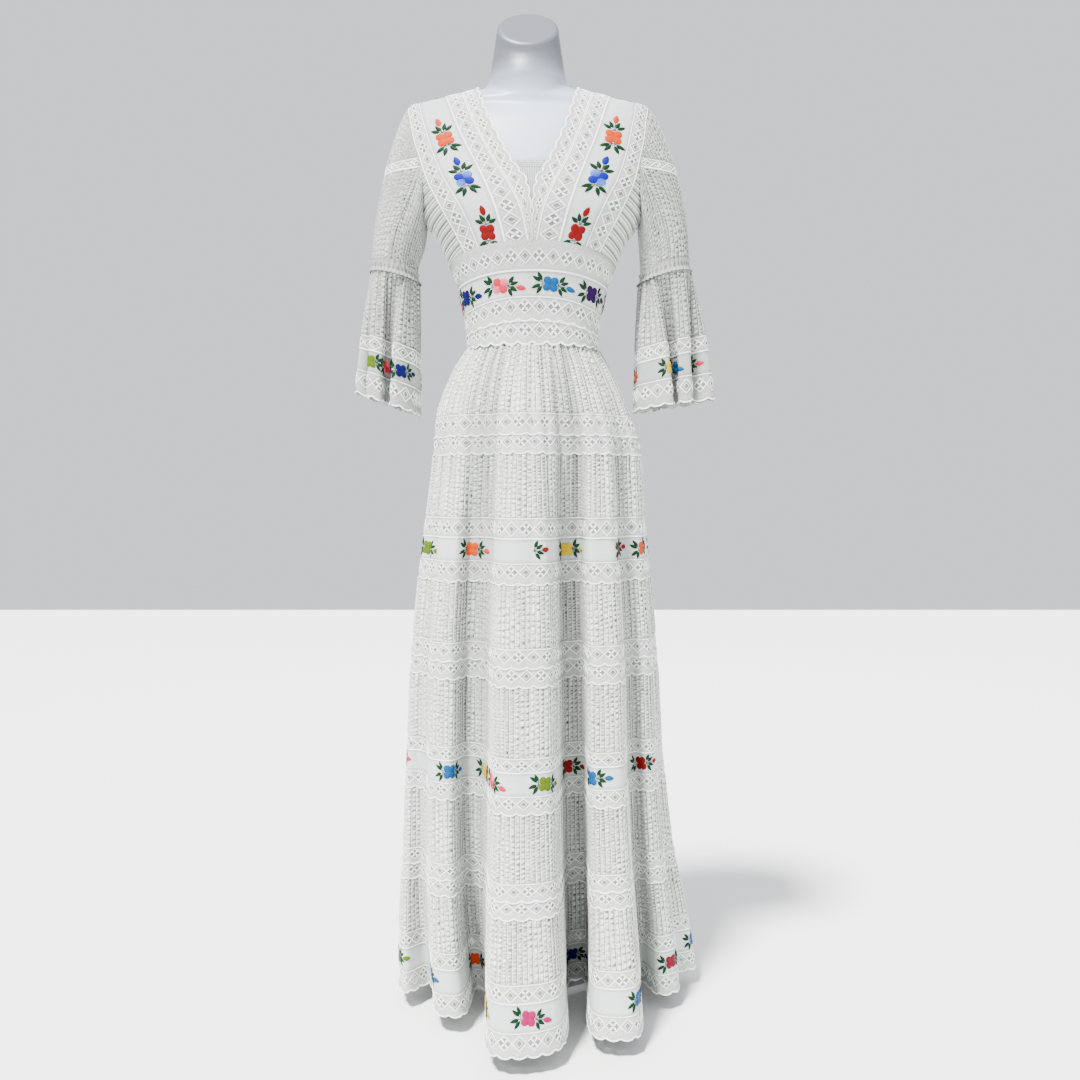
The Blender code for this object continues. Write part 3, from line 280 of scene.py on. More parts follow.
MM = 0.001
BASE_ROWS = 9
SKIRT_COLUMNS_ROUND = 1300
FLOUNCE_COLUMNS_ROUND = 480

# How far a piece runs on under the one above it, and how its scalloped edge hangs over the one below
UNDER = 1.8 * MM
UNDER_SINK = 0.6 * MM
EDGE_DROP = 3.4 * MM
EDGE_LIFT = 1.2 * MM
EDGE_LIFT_REACH = 9 * MM
MIDRIFF_OVER = 3.0 * MM

# Columns across one tuck, from 0 to 1: the puffs end at one place and the ridge stands at another
TUCK_COLUMNS = (0.0, 0.20, 0.36, 0.5)
PUFFS_END = 0.3
RIDGE_AT = 0.5
TUCK_EDGE = 4 * MM

# Creases across the puffs: how far a puff stands up and a crease sinks, for each share of the height,
# rows from crease to crease, and how much the puffs differ
PUFF_UP = 0.6
CREASE_DEPTH = 1.6
CREASE_ROWS = (2, 4)
CREASE_WANDER = 0.8
PUFF_LEAST = 0.5
PUFF_MOST = 1.15
BACK_SPREAD = 1.4

# Waves whose spacing sways: crests to a turn or a metre, and amount, number and start of each sway
GATHER_SWAYS = ((1.7, 7, 0.0), (1.2, 13, 1.0))
RUFFLE_LOW_SWAYS = ((1.4, 4, 0.0),)
RUFFLE_HIGH_SWAYS = ((1.2, 3, 1.0),)
FLOUNCE_WAVE = (19, ((1.3, 4, 0.0),))
EDGE_WAVE = (420, ((1.6, 97, 0.0),))
BAND_WAVE = (410, ((2.0, 57, 0.0),))
FLOUNCE_WAVE_HEIGHT = 1.6 * MM
EDGE_WAVE_HEIGHT = 0.5 * MM
BAND_WAVE_HEIGHT = 0.3 * MM

# Gathers, bust tucks and ruffles
TIER_GATHER = 0.9 * MM
WAIST_GATHER = 2.2 * MM
SLEEVE_GATHER = 1.3 * MM
GATHER_SPACING = 11 * MM
GATHER_REACH = 40 * MM
FLOUNCE_DEEPER = 0.9
BUST_TUCK_SPACING = 13 * MM
BUST_TUCK_SLOPE = 33
BUST_TUCK_HEIGHT = 1.6 * MM
BUST_GROOVE_DEPTH = 0.5 * MM
BUST_WAVE_HEIGHT = 0.2 * MM
# Place and width across a pair of bust tucks, and height, of the ridges and the grooves
BUST_RIDGES = ((0.30, 0.085, 1.0), (0.62, 0.085, 0.9))
BUST_GROOVES = ((0.42, 0.07, 1.0), (0.82, 0.10, 1.0))
ELBOW_RUFFLES = 42
ELBOW_RUFFLE_HEIGHT = 1.3 * MM
ELBOW_CLEAR = 1.6
ELBOW_FLARE = 3.4

# Inset: half width at three angles of rise, tucks and scallops at its top, and pleats below them
INSET_RISES = (10, 19.5, 28)
INSET_HALVES = (0.020, 0.030, 0.040)
INSET_TUCK_LEVELS = (3.6 * MM, 6.8 * MM, 10.0 * MM)
INSET_TUCK_HEIGHT = 1.1 * MM
INSET_TUCK_WIDTH = 0.7 * MM
INSET_GROOVE_WIDTH = 0.6 * MM
INSET_SCALLOP = 7 * MM
INSET_SCALLOP_DEPTH = 1.6 * MM
INSET_PLEAT = 3.0 * MM
INSET_PLEAT_HEIGHT = 0.5 * MM
INSET_PLEATS_FROM = 11 * MM
INSET_SINK = 1.4 * MM

# Lapped strip of the back: half width, heights of its lower end and of the midriff's top, the radius
# of the back there, and its stitches
PLACKET_HALF = 8.5 * MM
PLACKET_LOW = 1.046
PLACKET_JOIN = 1.136
PLACKET_RADIUS = 0.083
PLACKET_LIFT = 2.1 * MM
PLACKET_STITCH_IN = 1.5 * MM
PLACKET_STITCH = 0.5 * MM

# Painted shade and light: how dark the valleys of folds, the sleeves, the strips beside the seams and the
# valleys of gathers are painted, and how much lighter the crests of folds are painted
FOLD_SHADE = 0.34
CREST_LIGHT = 0.05
SLEEVE_SHADE = 0.60
SEAM_SHADE = 0.62
SEAM_SHADE_REACH = 3 * MM
GATHER_SHADE = 0.45

# Painted light and shade on tucked cloth: its base level, painted highlights on the puffs, channels and
# ridges, painted shade in the creases, and how much the tone of each tuck differs at random
TUCK_LIGHT = 0.28
PUFF_LIGHT = 0.96
CREASE_SHADE = 0.44
CHANNEL_LIGHT = 0.20
RIDGE_LIGHT = 0.76
TUCK_DIFFERENCE = 0.06

# The same painted light and shade for the bust tucks and for the inset: level, painted highlight on the ridge
# or tuck, painted shade in the groove, and painted light and shade across the pleats
BUST_LIGHT = (0.50, 0.42, 0.52)
INSET_LIGHT = (0.72, 0.25, 0.45, 0.25)

# Raised cords of the lace, and the least share of a sheet's rectangle that counts as its area
LACE_LIFT = 0.15 * MM
CORD_LIFT = 0.3 * MM
STITCH_LIFT = 0.3 * MM
CORD_BORDER = 1.2 * MM
MEDALLION_HALF = 8.5 * MM
LEAST_AREA = 0.31

# Lace motif: middle and half height as shares of the height, then places along a repeat and cord sizes
EDGING_MOTIF = (0.60, 0.30)
LACE_MOTIF = (0.50, 0.36)
MOTIF_MOST = 10.5 * MM
DIAMOND_AT = 0.25
MEDALLION_AT = 0.75
DIAMOND_HALVES = (4.6 * MM, 4.2 * MM)
LACE_PETAL_REACHES = (0.4, 3.4, 6.8)
LACE_PETAL_WIDTHS = (0.8, 3.0, 1.2)

# Embroidery: size of the sprays on each part of the dress, and of a flower's petals, leaves and bud
SPRAY_SCALE = {"skirt": 1.0, "midriff": 1.12, "bodice": 1.12, "sleeve": 0.92}
SPRAY_MARGIN = 0.6 * MM
SPRAY_TILT = 9
PETAL = (11.6 * MM, 11.2 * MM)
KNOT = 4.6 * MM
LEAF_WIDTH = 5.6 * MM
LEAF_START = 4.5 * MM
LEAF_STEM = 7.0 * MM
BUD = (14.0 * MM, 7.8 * MM)
BUD_PLACE = (21.5 * MM, -0.6 * MM)
BUD_STEM = (16.0 * MM, 8.0 * MM)
STEM_WIDTH = 0.9 * MM

# Start of a petal, how pointed and how thick each shape is, and the ways the bud and its stem point
PETAL_START = 0.6 * MM
BUD_TIP = 0.7
STEM_TIP = 0.5
KNOT_THICK = 0.6
LEAF_THICK = 0.75
STEM_THICK = 0.5
BUD_TILT = -6
BUD_STEM_TILT = -3

# Satin stitch: how light the darker stripe is, how much lighter the next one is, and how dark the painted
# shade on the rim of each shape is
STRIPE_LIGHT = 0.90
STRIPE_LIGHTER = 0.16
RIM_SHADE = 0.35

# Fans of leaves: where they spring from, how long the leaves are and the way each one points
NEAR_FAN = (9.5 * MM, 11.5 * MM, (60, 24, -60, -24))
FAR_FAN = (-9.5 * MM, 13.0 * MM, (150, 121, 208, 243))


class Colours(bpy.types.PropertyGroup):
    """Colours of cloth, lace and form."""

    cotton: bpy.props.FloatVectorProperty(
        name="Cotton", description="Linear colour of the cotton", subtype="COLOR", size=3,
        default=(0.895, 0.95, 0.895))
    band: bpy.props.FloatVectorProperty(
        name="Bands", description="Linear colour of the embroidered bands", subtype="COLOR", size=3,
        default=(0.54, 0.575, 0.56))
    # Painted shade colour: the cotton, the bands and the lace cords turn to it in creases, grooves, fold
    # valleys and beside seams
    shade: bpy.props.FloatVectorProperty(
        name="Valley", description="Linear colour of the cotton deep in the puckers", subtype="COLOR", size=3,
        default=(0.030, 0.031, 0.024))
    lace: bpy.props.FloatVectorProperty(
        name="Lace", description="Linear colour of the lace", subtype="COLOR", size=3,
        default=(0.80, 0.84, 0.80))
    # Painted shade colour of the lace: the whole lace greys towards it, most in its openings, as if shade
    # showed through them
    window: bpy.props.FloatVectorProperty(
        name="Lace net", description="Linear colour of the net in the openings of the lace", subtype="COLOR",
        size=3, default=(0.15, 0.155, 0.15))
    form: bpy.props.FloatVectorProperty(
        name="Form", description="Linear colour of the dress form", subtype="COLOR", size=3,
        default=(0.47, 0.53, 0.64))
    # Painted shade colour of the form's neck: the form turns to it towards the top of the neck
    neck: bpy.props.FloatVectorProperty(
        name="Neck", description="Linear colour of the neck of the form", subtype="COLOR", size=3,
        default=(0.105, 0.113, 0.132))


class Sizes(bpy.types.PropertyGroup):
    """Sizes of tucks, puckers, lace and stitches."""

    tuck_spacing: bpy.props.FloatProperty(
        name="Tuck spacing", description="From one pintuck to the next", unit="LENGTH",
        default=7.2 * MM, min=2 * MM)
    tuck_height: bpy.props.FloatProperty(
        name="Tuck height", description="How far a pintuck stands up", unit="LENGTH",
        default=1.2 * MM, min=0.0)
    pucker_spacing: bpy.props.FloatProperty(
        name="Pucker spacing", description="From one pucker to the next along a tuck", unit="LENGTH",
        default=7.0 * MM, min=2 * MM)
    pucker_height: bpy.props.FloatProperty(
        name="Pucker height", description="Half the height of the puckers", unit="LENGTH",
        default=1.4 * MM, min=0.0)
    lace_repeat: bpy.props.FloatProperty(
        name="Lace repeat", description="Length of one diamond and one medallion", unit="LENGTH",
        default=42.0 * MM, min=10 * MM)
    cord_width: bpy.props.FloatProperty(
        name="Cord width", description="Width of the raised cords of the lace", unit="LENGTH",
        default=1.5 * MM, min=0.2 * MM)
    cord_height: bpy.props.FloatProperty(
        name="Cord height", description="How far the cords of the lace stand up", unit="LENGTH",
        default=0.7 * MM, min=0.0)
    stitch_height: bpy.props.FloatProperty(
        name="Stitch height", description="How far a satin stitched petal stands up", unit="LENGTH",
        default=1.3 * MM, min=0.0)


def column(rows, names, name):
    """One named column of a table as an array."""
    return np.array([row[names.index(name)] for row in rows], dtype=float)


def hermite(t, start, start_slope, end, end_slope, step=1.0):
    """A smooth cubic from start to end, at shares t of a step."""
    t2 = t * t
    t3 = t2 * t
    value = (2 * t3 - 3 * t2 + 1) * start + (t3 - 2 * t2 + t) * step * start_slope
    return value + (3 * t2 - 2 * t3) * end + (t3 - t2) * step * end_slope


def ease(values, low, high):
    """From 0 to 1 between two values, level at both ends."""
    t = np.clip((values - low) / (high - low), 0, 1)
    return t * t * (3 - 2 * t)


def last_before(shape, low, high, holds):
    """The value between low and high up to which a test holds, for each place of an array."""
    near = np.full(shape, low)
    far = np.full(shape, high)
    for repeat in range(40):
        middle = (near + far) / 2
        held = holds(middle)
        near = np.where(held, middle, near)
        far = np.where(held, far, middle)
    return near


def smooth_line(places, values):
    """A function that runs smoothly through the values without overshooting them."""
    order = np.argsort(places)
    x = np.asarray(places, dtype=float)[order]
    y = np.asarray(values, dtype=float)[order]
    step = np.diff(x)
    rise = np.diff(y) / step
    slope = np.empty(len(x))
    slope[0] = rise[0]
    slope[-1] = rise[-1]
    product = rise[:-1] * rise[1:]
    total = np.where(product > 0, rise[:-1] + rise[1:], 1.0)
    slope[1:-1] = np.where(product > 0, 2 * product / total, 0.0)

    def read(spot):
        spot = np.clip(np.asarray(spot, dtype=float), x[0], x[-1])
        k = np.clip(np.searchsorted(x, spot, side="right") - 1, 0, len(step) - 1)
        return hermite((spot - x[k]) / step[k], y[k], slope[k], y[k + 1], slope[k + 1], step[k])

    return read


def table_lines(rows, names, key):
    """A smooth function for each column of a table, read by the key column."""
    places = column(rows, names, key)
    return {name: smooth_line(places, column(rows, names, name)) for name in names if name != key}


body = table_lines(BODY, BODY_COLUMNS, "height")
strip = table_lines(STRIPS, STRIP_COLUMNS, "angle")
armhole = table_lines(ARMHOLE, ARMHOLE_COLUMNS, "height")
flare = table_lines(FLARE, FLARE_COLUMNS, "height")


def unit(vectors):
    """Vectors scaled to length 1."""
    return vectors / np.maximum(np.linalg.norm(vectors, axis=-1, keepdims=True), 1e-12)


def bell(values, middle, width):
    """From 1 at a middle down to 0 on both sides of it."""
    return np.exp(-((values - middle) / width) ** 2)


def place(points):
    """Lean bodice points and set them on the dress axis."""
    moved = np.array(points, dtype=float)
    moved[..., 0] += LEAN * ease(moved[..., 2], LEAN_FROM, LEAN_TO) + AXIS_X
    moved[..., 1] += AXIS_Y
    return moved


def swaying(turn, count, sways):
    """The phase of a wave with so many crests to a turn, whose spacing sways.

    Each sway has an amount, how many of it there are to a turn, and a start.
    """
    phase = count * turn
    for amount, number, start in sways:
        phase = phase + amount * np.sin(number * turn + start)
    return phase


def mirror(points):
    """The same grid on the other side, its columns turned round so that it still faces out."""
    return points[:, ::-1] * np.array([-1.0, 1.0, 1.0])


def roundness(x, z):
    """From 1 in the middle of the body section at a height to 0 at its sides."""
    return np.clip(1 - np.abs(x / body["half_width"](z)) ** SECTION_POWER, 0, 1)


def section_turn(turn):
    """How far across and ahead the rounded oval lies at turns from the middle of the front."""
    return [np.sign(part) * np.abs(part) ** (2 / SECTION_POWER) for part in (np.sin(turn), np.cos(turn))]


def arch(x, side, rise):
    """Height of a midriff seam at a distance from the middle of the front."""
    return side + rise * roundness(x, side)


def ridge_height(x):
    """Height of the shoulder ridge at distances from the middle."""
    x = np.abs(x)
    return last_before(np.shape(x), RIDGE_FROM, BODY[-1][0], lambda z: body["half_width"](z) > x)


def over_shoulder(x, angle):
    """Points of the bodice at distances from the middle and angles of rise."""
    x, angle = np.broadcast_arrays(np.asarray(x, dtype=float), np.radians(np.asarray(angle, dtype=float)))
    side, rise = MIDRIFF[0][2:4]
    base = np.where(angle <= math.pi / 2, arch(x, side, rise), side) + BASE_GAP
    z = base + (ridge_height(x) - base) * np.sin(angle)
    depth = np.where(np.cos(angle) > 0, -body["front"](z), body["back"](z))
    return np.stack([x, depth * roundness(x, z) ** (1 / SECTION_POWER), z], axis=-1)


def around(turn, z):
    """Points round the bodice section at a height; a turn of 0 is the middle of the front."""
    turn, z = np.broadcast_arrays(np.asarray(turn, dtype=float), np.asarray(z, dtype=float))
    across, ahead = section_turn(turn)
    depth = np.where(ahead > 0, body["front"](z), body["back"](z))
    return np.stack([body["half_width"](z) * across, -depth * ahead, z], axis=-1)


def seam_heights(turn, side, rise):
    """Heights of a midriff seam at turns round the body: it arches up at the front."""
    z = np.full(len(turn), side)
    for repeat in range(6):
        z = np.where(np.cos(turn) > 0, arch(around(turn, z)[:, 0], side, rise), side)
    return z


def patch(low, top, left, right):
    """A grid between four edge lines: low and top run across it, left and right run up it."""
    up = np.linspace(0, 1, len(left))[:, None, None]
    across = np.linspace(0, 1, len(low))[None, :, None]
    grid = (1 - up) * low[None] + up * top[None] + (1 - across) * left[:, None] + across * right[:, None]
    grid = grid - (1 - up) * ((1 - across) * low[0] + across * low[-1])
    return grid - up * ((1 - across) * top[0] + across * top[-1])


def fold_line(rows, names):
    """A function from a fraction of the way round to points of the line through crests and valleys."""
    crests = np.stack([column(rows, names, "crest_x"), column(rows, names, "crest_y")], axis=-1)
    valleys = np.stack([column(rows, names, "valley_x"), column(rows, names, "valley_y")], axis=-1)
    crest_width = column(rows, names, "crest_width")[:, None]
    valley_width = column(rows, names, "valley_width")[:, None]
    along_crest = unit(valleys - np.roll(valleys, 1, axis=0))
    along_valley = unit(np.roll(crests, -1, axis=0) - crests)
    corners = np.stack([
        crests - along_crest * crest_width / 2,
        crests + along_crest * crest_width / 2,
        valleys - along_valley * valley_width / 2,
        valleys + along_valley * valley_width / 2,
    ], axis=1).reshape(-1, 2)
    total = len(corners)

    def read(fraction):
        spot = np.asarray(fraction) * total - 0.5
        k = np.floor(spot).astype(int)
        t = spot - k
        p = [corners[(k + shift) % total] for shift in (-1, 0, 1, 2)]
        knots = [np.zeros(len(k))]
        for a, b in zip(p[:-1], p[1:]):
            knots.append(knots[-1] + np.linalg.norm(b - a, axis=1) ** 0.5)
        s = knots[1] + (knots[2] - knots[1]) * t

        def mix(a, b, low, high):
            share = ((s - low) / (high - low))[:, None]
            return a * (1 - share) + b * share

        a1 = mix(p[0], p[1], knots[0], knots[1])
        a2 = mix(p[1], p[2], knots[1], knots[2])
        a3 = mix(p[2], p[3], knots[2], knots[3])
        b1 = mix(a1, a2, knots[0], knots[2])
        b2 = mix(a2, a3, knots[1], knots[3])
        return mix(b1, b2, knots[1], knots[2])

    return read


def skirt_section(turn, z):
    """Plan points of the skirt without its folds."""
    x = np.where(np.sin(turn) < 0, flare["left"](z), flare["right"](z)) * np.sin(turn)
    y = -np.where(np.cos(turn) > 0, flare["front"](z), flare["back"](z)) * np.cos(turn)
    return np.stack([x, y], axis=-1)


hem_line = fold_line(HEM_FOLDS, HEM_FOLD_COLUMNS)


def skirt_turn(fraction):
    """Turn round the waist, in radians, at a fraction of the way round the folds."""
    starts = np.stack([column(HEM_FOLDS, HEM_FOLD_COLUMNS, "crest_from"),
                       column(HEM_FOLDS, HEM_FOLD_COLUMNS, "valley_from")], axis=1).reshape(-1)
    count = len(starts)
    values = np.concatenate([starts[-2:] - 360, starts, starts[:3] + 360])
    places = np.arange(-2, count + 3)
    return np.radians(smooth_line(places, values)(np.asarray(fraction) * count - 0.25))


def skirt_points(fraction, z):
    """Points of the skirt: a row for each height and a column for each fraction of the way round."""
    turn = skirt_turn(fraction)
    folds = hem_line(fraction) - skirt_section(turn, HEM_HEIGHT)
    rows = []
    for height in z:
        section = skirt_section(turn, height)
        front = np.clip(FRONT_STEEP * np.cos(turn) - FRONT_START, 0, 1)[:, None]
        plan = section + (flare["fold"](height) + flare["front_fold"](height) * front) * folds
        wander = swaying(turn, RIPPLES, ((1.1, 5, 0.4), (0.9, 9, 1.9 + 3 * height)))
        wave = np.sin(wander) + RIPPLE_OVERTONE * np.sin(2 * wander + 1.3)
        plan = plan + unit(section) * (flare["ripple"](height) * wave)[:, None]
        rows.append(np.column_stack([plan, np.full(len(plan), height)]))
    return np.stack(rows) + np.array([AXIS_X, AXIS_Y, 0.0])


def even_fractions(points_at, count):
    """Fractions of the way round that are evenly spaced along the line."""
    dense = np.linspace(0, 1, 6001)
    spots = points_at(dense)
    length = np.concatenate([[0], np.cumsum(np.linalg.norm(np.diff(spots, axis=0), axis=1))])
    return np.interp(np.linspace(0, length[-1], count + 1), length, dense)


def hollows(points):
    """How deep the points of a closed cloth lie in its folds: 1 in the valleys, -1 on the crests."""
    count = points.shape[1] - 1
    reach = count // 16
    ring = np.concatenate([points[:, count - reach:count], points, points[:, 1:reach + 1]], axis=1)
    total = np.concatenate([0 * ring[:, :1], np.cumsum(ring, axis=1)], axis=1)
    calm = (total[:, 2 * reach + 1:] - total[:, :-2 * reach - 1]) / (2 * reach + 1)
    outward = unit(calm - calm[:, :-1].mean(axis=1, keepdims=True))
    depth = ((calm - points) * outward).sum(axis=-1)
    depth = depth - depth.mean(axis=1, keepdims=True)
    return np.clip(depth / (1.2 * depth.std(axis=1, keepdims=True) + 1.0 * MM), -1, 1)[..., None]


class Cloth:
    """A surface that pieces are laid on: rows of points upwards, columns along.

    One more row is added above the seam, so that a piece runs on a little under the one above it.
    """

    def __init__(self, points, closed=False):
        above = points[-1] + unit(points[-1] - points[-2]) * UNDER
        points = np.concatenate([points, above[None]])
        self.points = points
        self.closed = closed
        self.hollow = hollows(points) if closed else np.zeros(points.shape[:2] + (1,))
        along = np.gradient(points, axis=1)
        if closed:
            ends = points[:, 1] - points[:, -2]
            along[:, 0] = ends
            along[:, -1] = ends
        self.normals = unit(np.cross(along, np.gradient(points, axis=0)))
        middle = points[len(points) // 2]
        steps = np.linalg.norm(np.diff(middle, axis=0), axis=1)
        self.u = np.concatenate([[0], np.cumsum(steps)])
        rises = np.linalg.norm(np.diff(points, axis=0), axis=2).mean(axis=1)
        self.v = np.concatenate([[0], np.cumsum(rises)])
        self.length = self.u[-1]
        self.height = self.v[-2]

    def read(self, grid, u, v):
        """Values of a grid of the cloth at places along and up it, in metres."""
        if self.closed:
            u = np.where((u < 0) | (u > self.length), u % self.length, u)
        i = np.interp(v, self.v, np.arange(len(self.v)))
        j = np.interp(u, self.u, np.arange(len(self.u)))
        i0 = np.minimum(i.astype(int), len(self.v) - 2)
        j0 = np.minimum(j.astype(int), len(self.u) - 2)
        a = (i - i0)[..., None]
        b = (j - j0)[..., None]
        low = grid[i0, j0] * (1 - b) + grid[i0, j0 + 1] * b
        high = grid[i0 + 1, j0] * (1 - b) + grid[i0 + 1, j0 + 1] * b
        return low * (1 - a) + high * a

    def lay(self, u, v, lift):
        """Points at places along and up the cloth, in metres, lifted off it."""
        u, v, lift = np.broadcast_arrays(u, v, lift)
        return self.read(self.points, u, v) + unit(self.read(self.normals, u, v)) * lift[..., None]

    def light(self, u, v):
        """Painted light on the cloth at places: painted shade in the valleys of its folds and painted light
        on their crests.
        """
        sunk = self.read(self.hollow, *np.broadcast_arrays(u, v))[..., 0]
        return 1 - FOLD_SHADE * np.clip(sunk, 0, 1) + CREST_LIGHT * np.clip(-sunk, 0, 1)


def link_object(name, data):
    """A new object of the scene at the origin."""
    made = bpy.data.objects.new(name, data)
    bpy.context.scene.collection.objects.link(made)
    return made


def float_attribute(data, name, values):
    """Give each point of a mesh a value."""
    layer = data.attributes.new(name, "FLOAT", "POINT")
    layer.data.foreach_set("value", np.ascontiguousarray(values, dtype=np.float32).reshape(-1))


def grid_object(name, points, uv, pattern, shade, closed, surface):
    """A smooth grid mesh through rows of points.

    Its first UV map is in metres, the second counts the repeats of its pattern.
    """
    rows, columns = points.shape[:2]
    mesh = bmesh.new()
    mesh.loops.layers.uv.new("UVMap")
    mesh.loops.layers.uv.new("Pattern")
    bmesh.ops.create_grid(mesh, x_segments=columns - 1, y_segments=rows - 1, size=1.0)
    data = bpy.data.meshes.new(name)
    mesh.to_mesh(data)
    mesh.free()
    data.vertices.foreach_set("co", np.ascontiguousarray(points, dtype=np.float32).reshape(-1))
    index = np.empty(len(data.loops), dtype=np.int32)
    data.loops.foreach_get("vertex_index", index)
    for layer, values in (("UVMap", uv), ("Pattern", pattern)):
        spread = np.ascontiguousarray(values, dtype=np.float32).reshape(-1, 2)[index]
        data.uv_layers[layer].data.foreach_set("uv", spread.reshape(-1))
    float_attribute(data, "Shade", shade)
    if closed:
        mesh = bmesh.new()
        mesh.from_mesh(data)
        mesh.verts.ensure_lookup_table()
        seam = [mesh.verts[r * columns + c] for r in range(rows) for c in (0, columns - 1)]
        bmesh.ops.remove_doubles(mesh, verts=seam, dist=0.01 * MM)
        mesh.to_mesh(data)
        mesh.free()
    data.shade_smooth()
    data.materials.append(surface)
    made = link_object(name, data)
    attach(made, "root")
    return made


def lay_sheet(name, cloth, u, v, lift, surface, node, pattern=None, shade=None):
    """A piece of cloth laid on a surface; the size that it was cut to is worked out but not passed on."""
    u, v, lift = np.broadcast_arrays(u, v, lift)
    lift = np.where(v > cloth.height, -UNDER_SINK * np.clip((v - cloth.height) / UNDER, 0, 1), lift)
    points = cloth.lay(u, v, lift)
    flat = np.stack([u, v], axis=-1)
    if shade is None:
        shade = np.ones(u.shape)
    # Painted shade: darker near both seams, in the valleys of the folds and over the whole of each sleeve;
    # painted light on the crests of the folds
    seam = np.clip(np.minimum(v, cloth.height - v) / SEAM_SHADE_REACH, 0, 1)
    shade = shade * (SEAM_SHADE + (1 - SEAM_SHADE) * seam) * cloth.light(u, v)
    if node.startswith("sleeve"):
        shade = shade * SLEEVE_SHADE
    if pattern is None:
        pattern = flat
    made = grid_object(name, points, flat, pattern, shade, cloth.closed, surface)
    steps = np.linalg.norm(np.diff(points, axis=1), axis=2).sum(axis=1)
    rises = np.linalg.norm(np.diff(points, axis=0), axis=2).sum(axis=0)
    width = float(steps.max())
    height = float(rises.max())
    across = np.cross(points[1:, 1:] - points[:-1, :-1], points[1:, :-1] - points[:-1, 1:])
    area = np.linalg.norm(across, axis=2).sum() / 2
    area = float(np.clip(area, LEAST_AREA * width * height, width * height))
    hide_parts(node)
    return made


def noise_line(count, seed, reach):
    """Smooth wandering numbers, the same on every run."""
    raw = np.random.default_rng(seed).normal(0, 1, count + 4 * reach)
    kernel = np.hanning(2 * reach + 1)
    kernel /= np.sqrt((kernel ** 2).sum())
    return np.convolve(raw, kernel, mode="same")[2 * reach:2 * reach + count]


def rows_up(cloth, step):
    """Rows from the lower edge to the seam, and one more under the piece above."""
    count = max(int(round(cloth.height / step)), 4)
    return np.append(np.linspace(0, cloth.height, count + 1), cloth.v[-1])[:, None]


def tucked_sheet(name, cloth, node, seed, sizes, spread=1.0, gather=0.0):
    """Cotton with evenly spaced pintucks and creased puckers between them."""
    count = max(int(round(cloth.length / sizes.tuck_spacing)), 4)
    k = np.repeat(np.arange(count), len(TUCK_COLUMNS))
    t = np.tile(TUCK_COLUMNS, count)
    end = (count, 0.0) if cloth.closed else (count - 1, 1.0)
    k = np.append(k, end[0])
    t = np.append(t, end[1])
    channel = (t < PUFFS_END) * 1.0
    ridge = (t == RIDGE_AT) * 1.0
    u = (k + t) / count * cloth.length
    v = rows_up(cloth, sizes.pucker_spacing / 3)
    down = cloth.height - v

    # Creases every two to four rows, in steps that wander from tuck to tuck
    row = np.arange(len(v))[:, None]
    tuck = k % count
    wander = np.cumsum(noise_line(count, seed, 2) * CREASE_WANDER)
    wander = np.append(wander, wander[0])[k]
    shift = np.round(wander + CREASE_WANDER * np.sin(v * 70 + tuck * 0.35 + seed)).astype(int)
    period = np.clip(3 + np.round(0.75 * noise_line(count, seed + 7, 3)), *CREASE_ROWS)[tuck]
    crease = ((row + shift) % period == 0) * 1.0
    strength = 0.80 + 0.30 * np.sin(tuck * 0.61 + seed) * np.sin(v / cloth.height * 5.0 + tuck * 0.23)
    uneven = np.random.default_rng(seed).uniform(PUFF_LEAST, PUFF_MOST, (len(v), count))[:, tuck]
    puff = (PUFF_UP - CREASE_DEPTH * crease) * channel * np.minimum(strength * uneven, 1)
    edge = np.clip(np.minimum(v, down) / TUCK_EDGE, 0, 1)
    lift = (sizes.pucker_height * puff + sizes.tuck_height * ridge) * edge * spread

    # Painted highlights on puffs and ridges, painted shade in creases
    shade = np.where(puff > 0, PUFF_LIGHT * puff, CREASE_SHADE * puff)
    shade = shade + TUCK_LIGHT + CHANNEL_LIGHT * channel + RIDGE_LIGHT * ridge
    shade = shade + TUCK_DIFFERENCE * np.sin(tuck * 1.7 + seed) * (1 - ridge)
    if gather:
        turn = 2 * math.pi * u / cloth.length
        number = round(cloth.length / GATHER_SPACING)
        wave = np.sin(swaying(turn, number, GATHER_SWAYS))
        fade = np.exp(-np.clip(down, 0, None) / GATHER_REACH)
        lift = lift + gather * wave * fade * np.clip(down / (5 * MM), 0.3, 1)
        # Painted shade in the valleys of the gathers, fading away from the seam above
        shade = shade * (1 - GATHER_SHADE * fade * np.clip(-wave, 0, 1))
    pattern = np.stack(np.broadcast_arrays(k + t, v / sizes.pucker_spacing), axis=-1)
    return lay_sheet(name, cloth, u, v, lift, surfaces["cotton"], node, pattern, shade)


def lace_plan(cloth, edging, sizes):
    """Repeats along a lace piece, the height of the middle of its diamonds and half their height."""
    count = max(int(round(cloth.length / sizes.lace_repeat)), 1)
    middle, reach = EDGING_MOTIF if edging else LACE_MOTIF
    return count, cloth.height * middle, min(cloth.height * reach, MOTIF_MOST)


def scallop(u, pitch):
    """How far the edge hangs down at places along it: one scallop under each diamond."""
    return EDGE_DROP * np.abs(np.sin(math.pi * u / pitch)) ** 0.6


def edge_lift(u, v):
    """How far a scalloped edge stands off the piece below."""
    wave = np.sin(swaying(u, *EDGE_WAVE))
    return np.clip(1 - v / EDGE_LIFT_REACH, 0, 1) * (EDGE_LIFT + EDGE_WAVE_HEIGHT * wave)


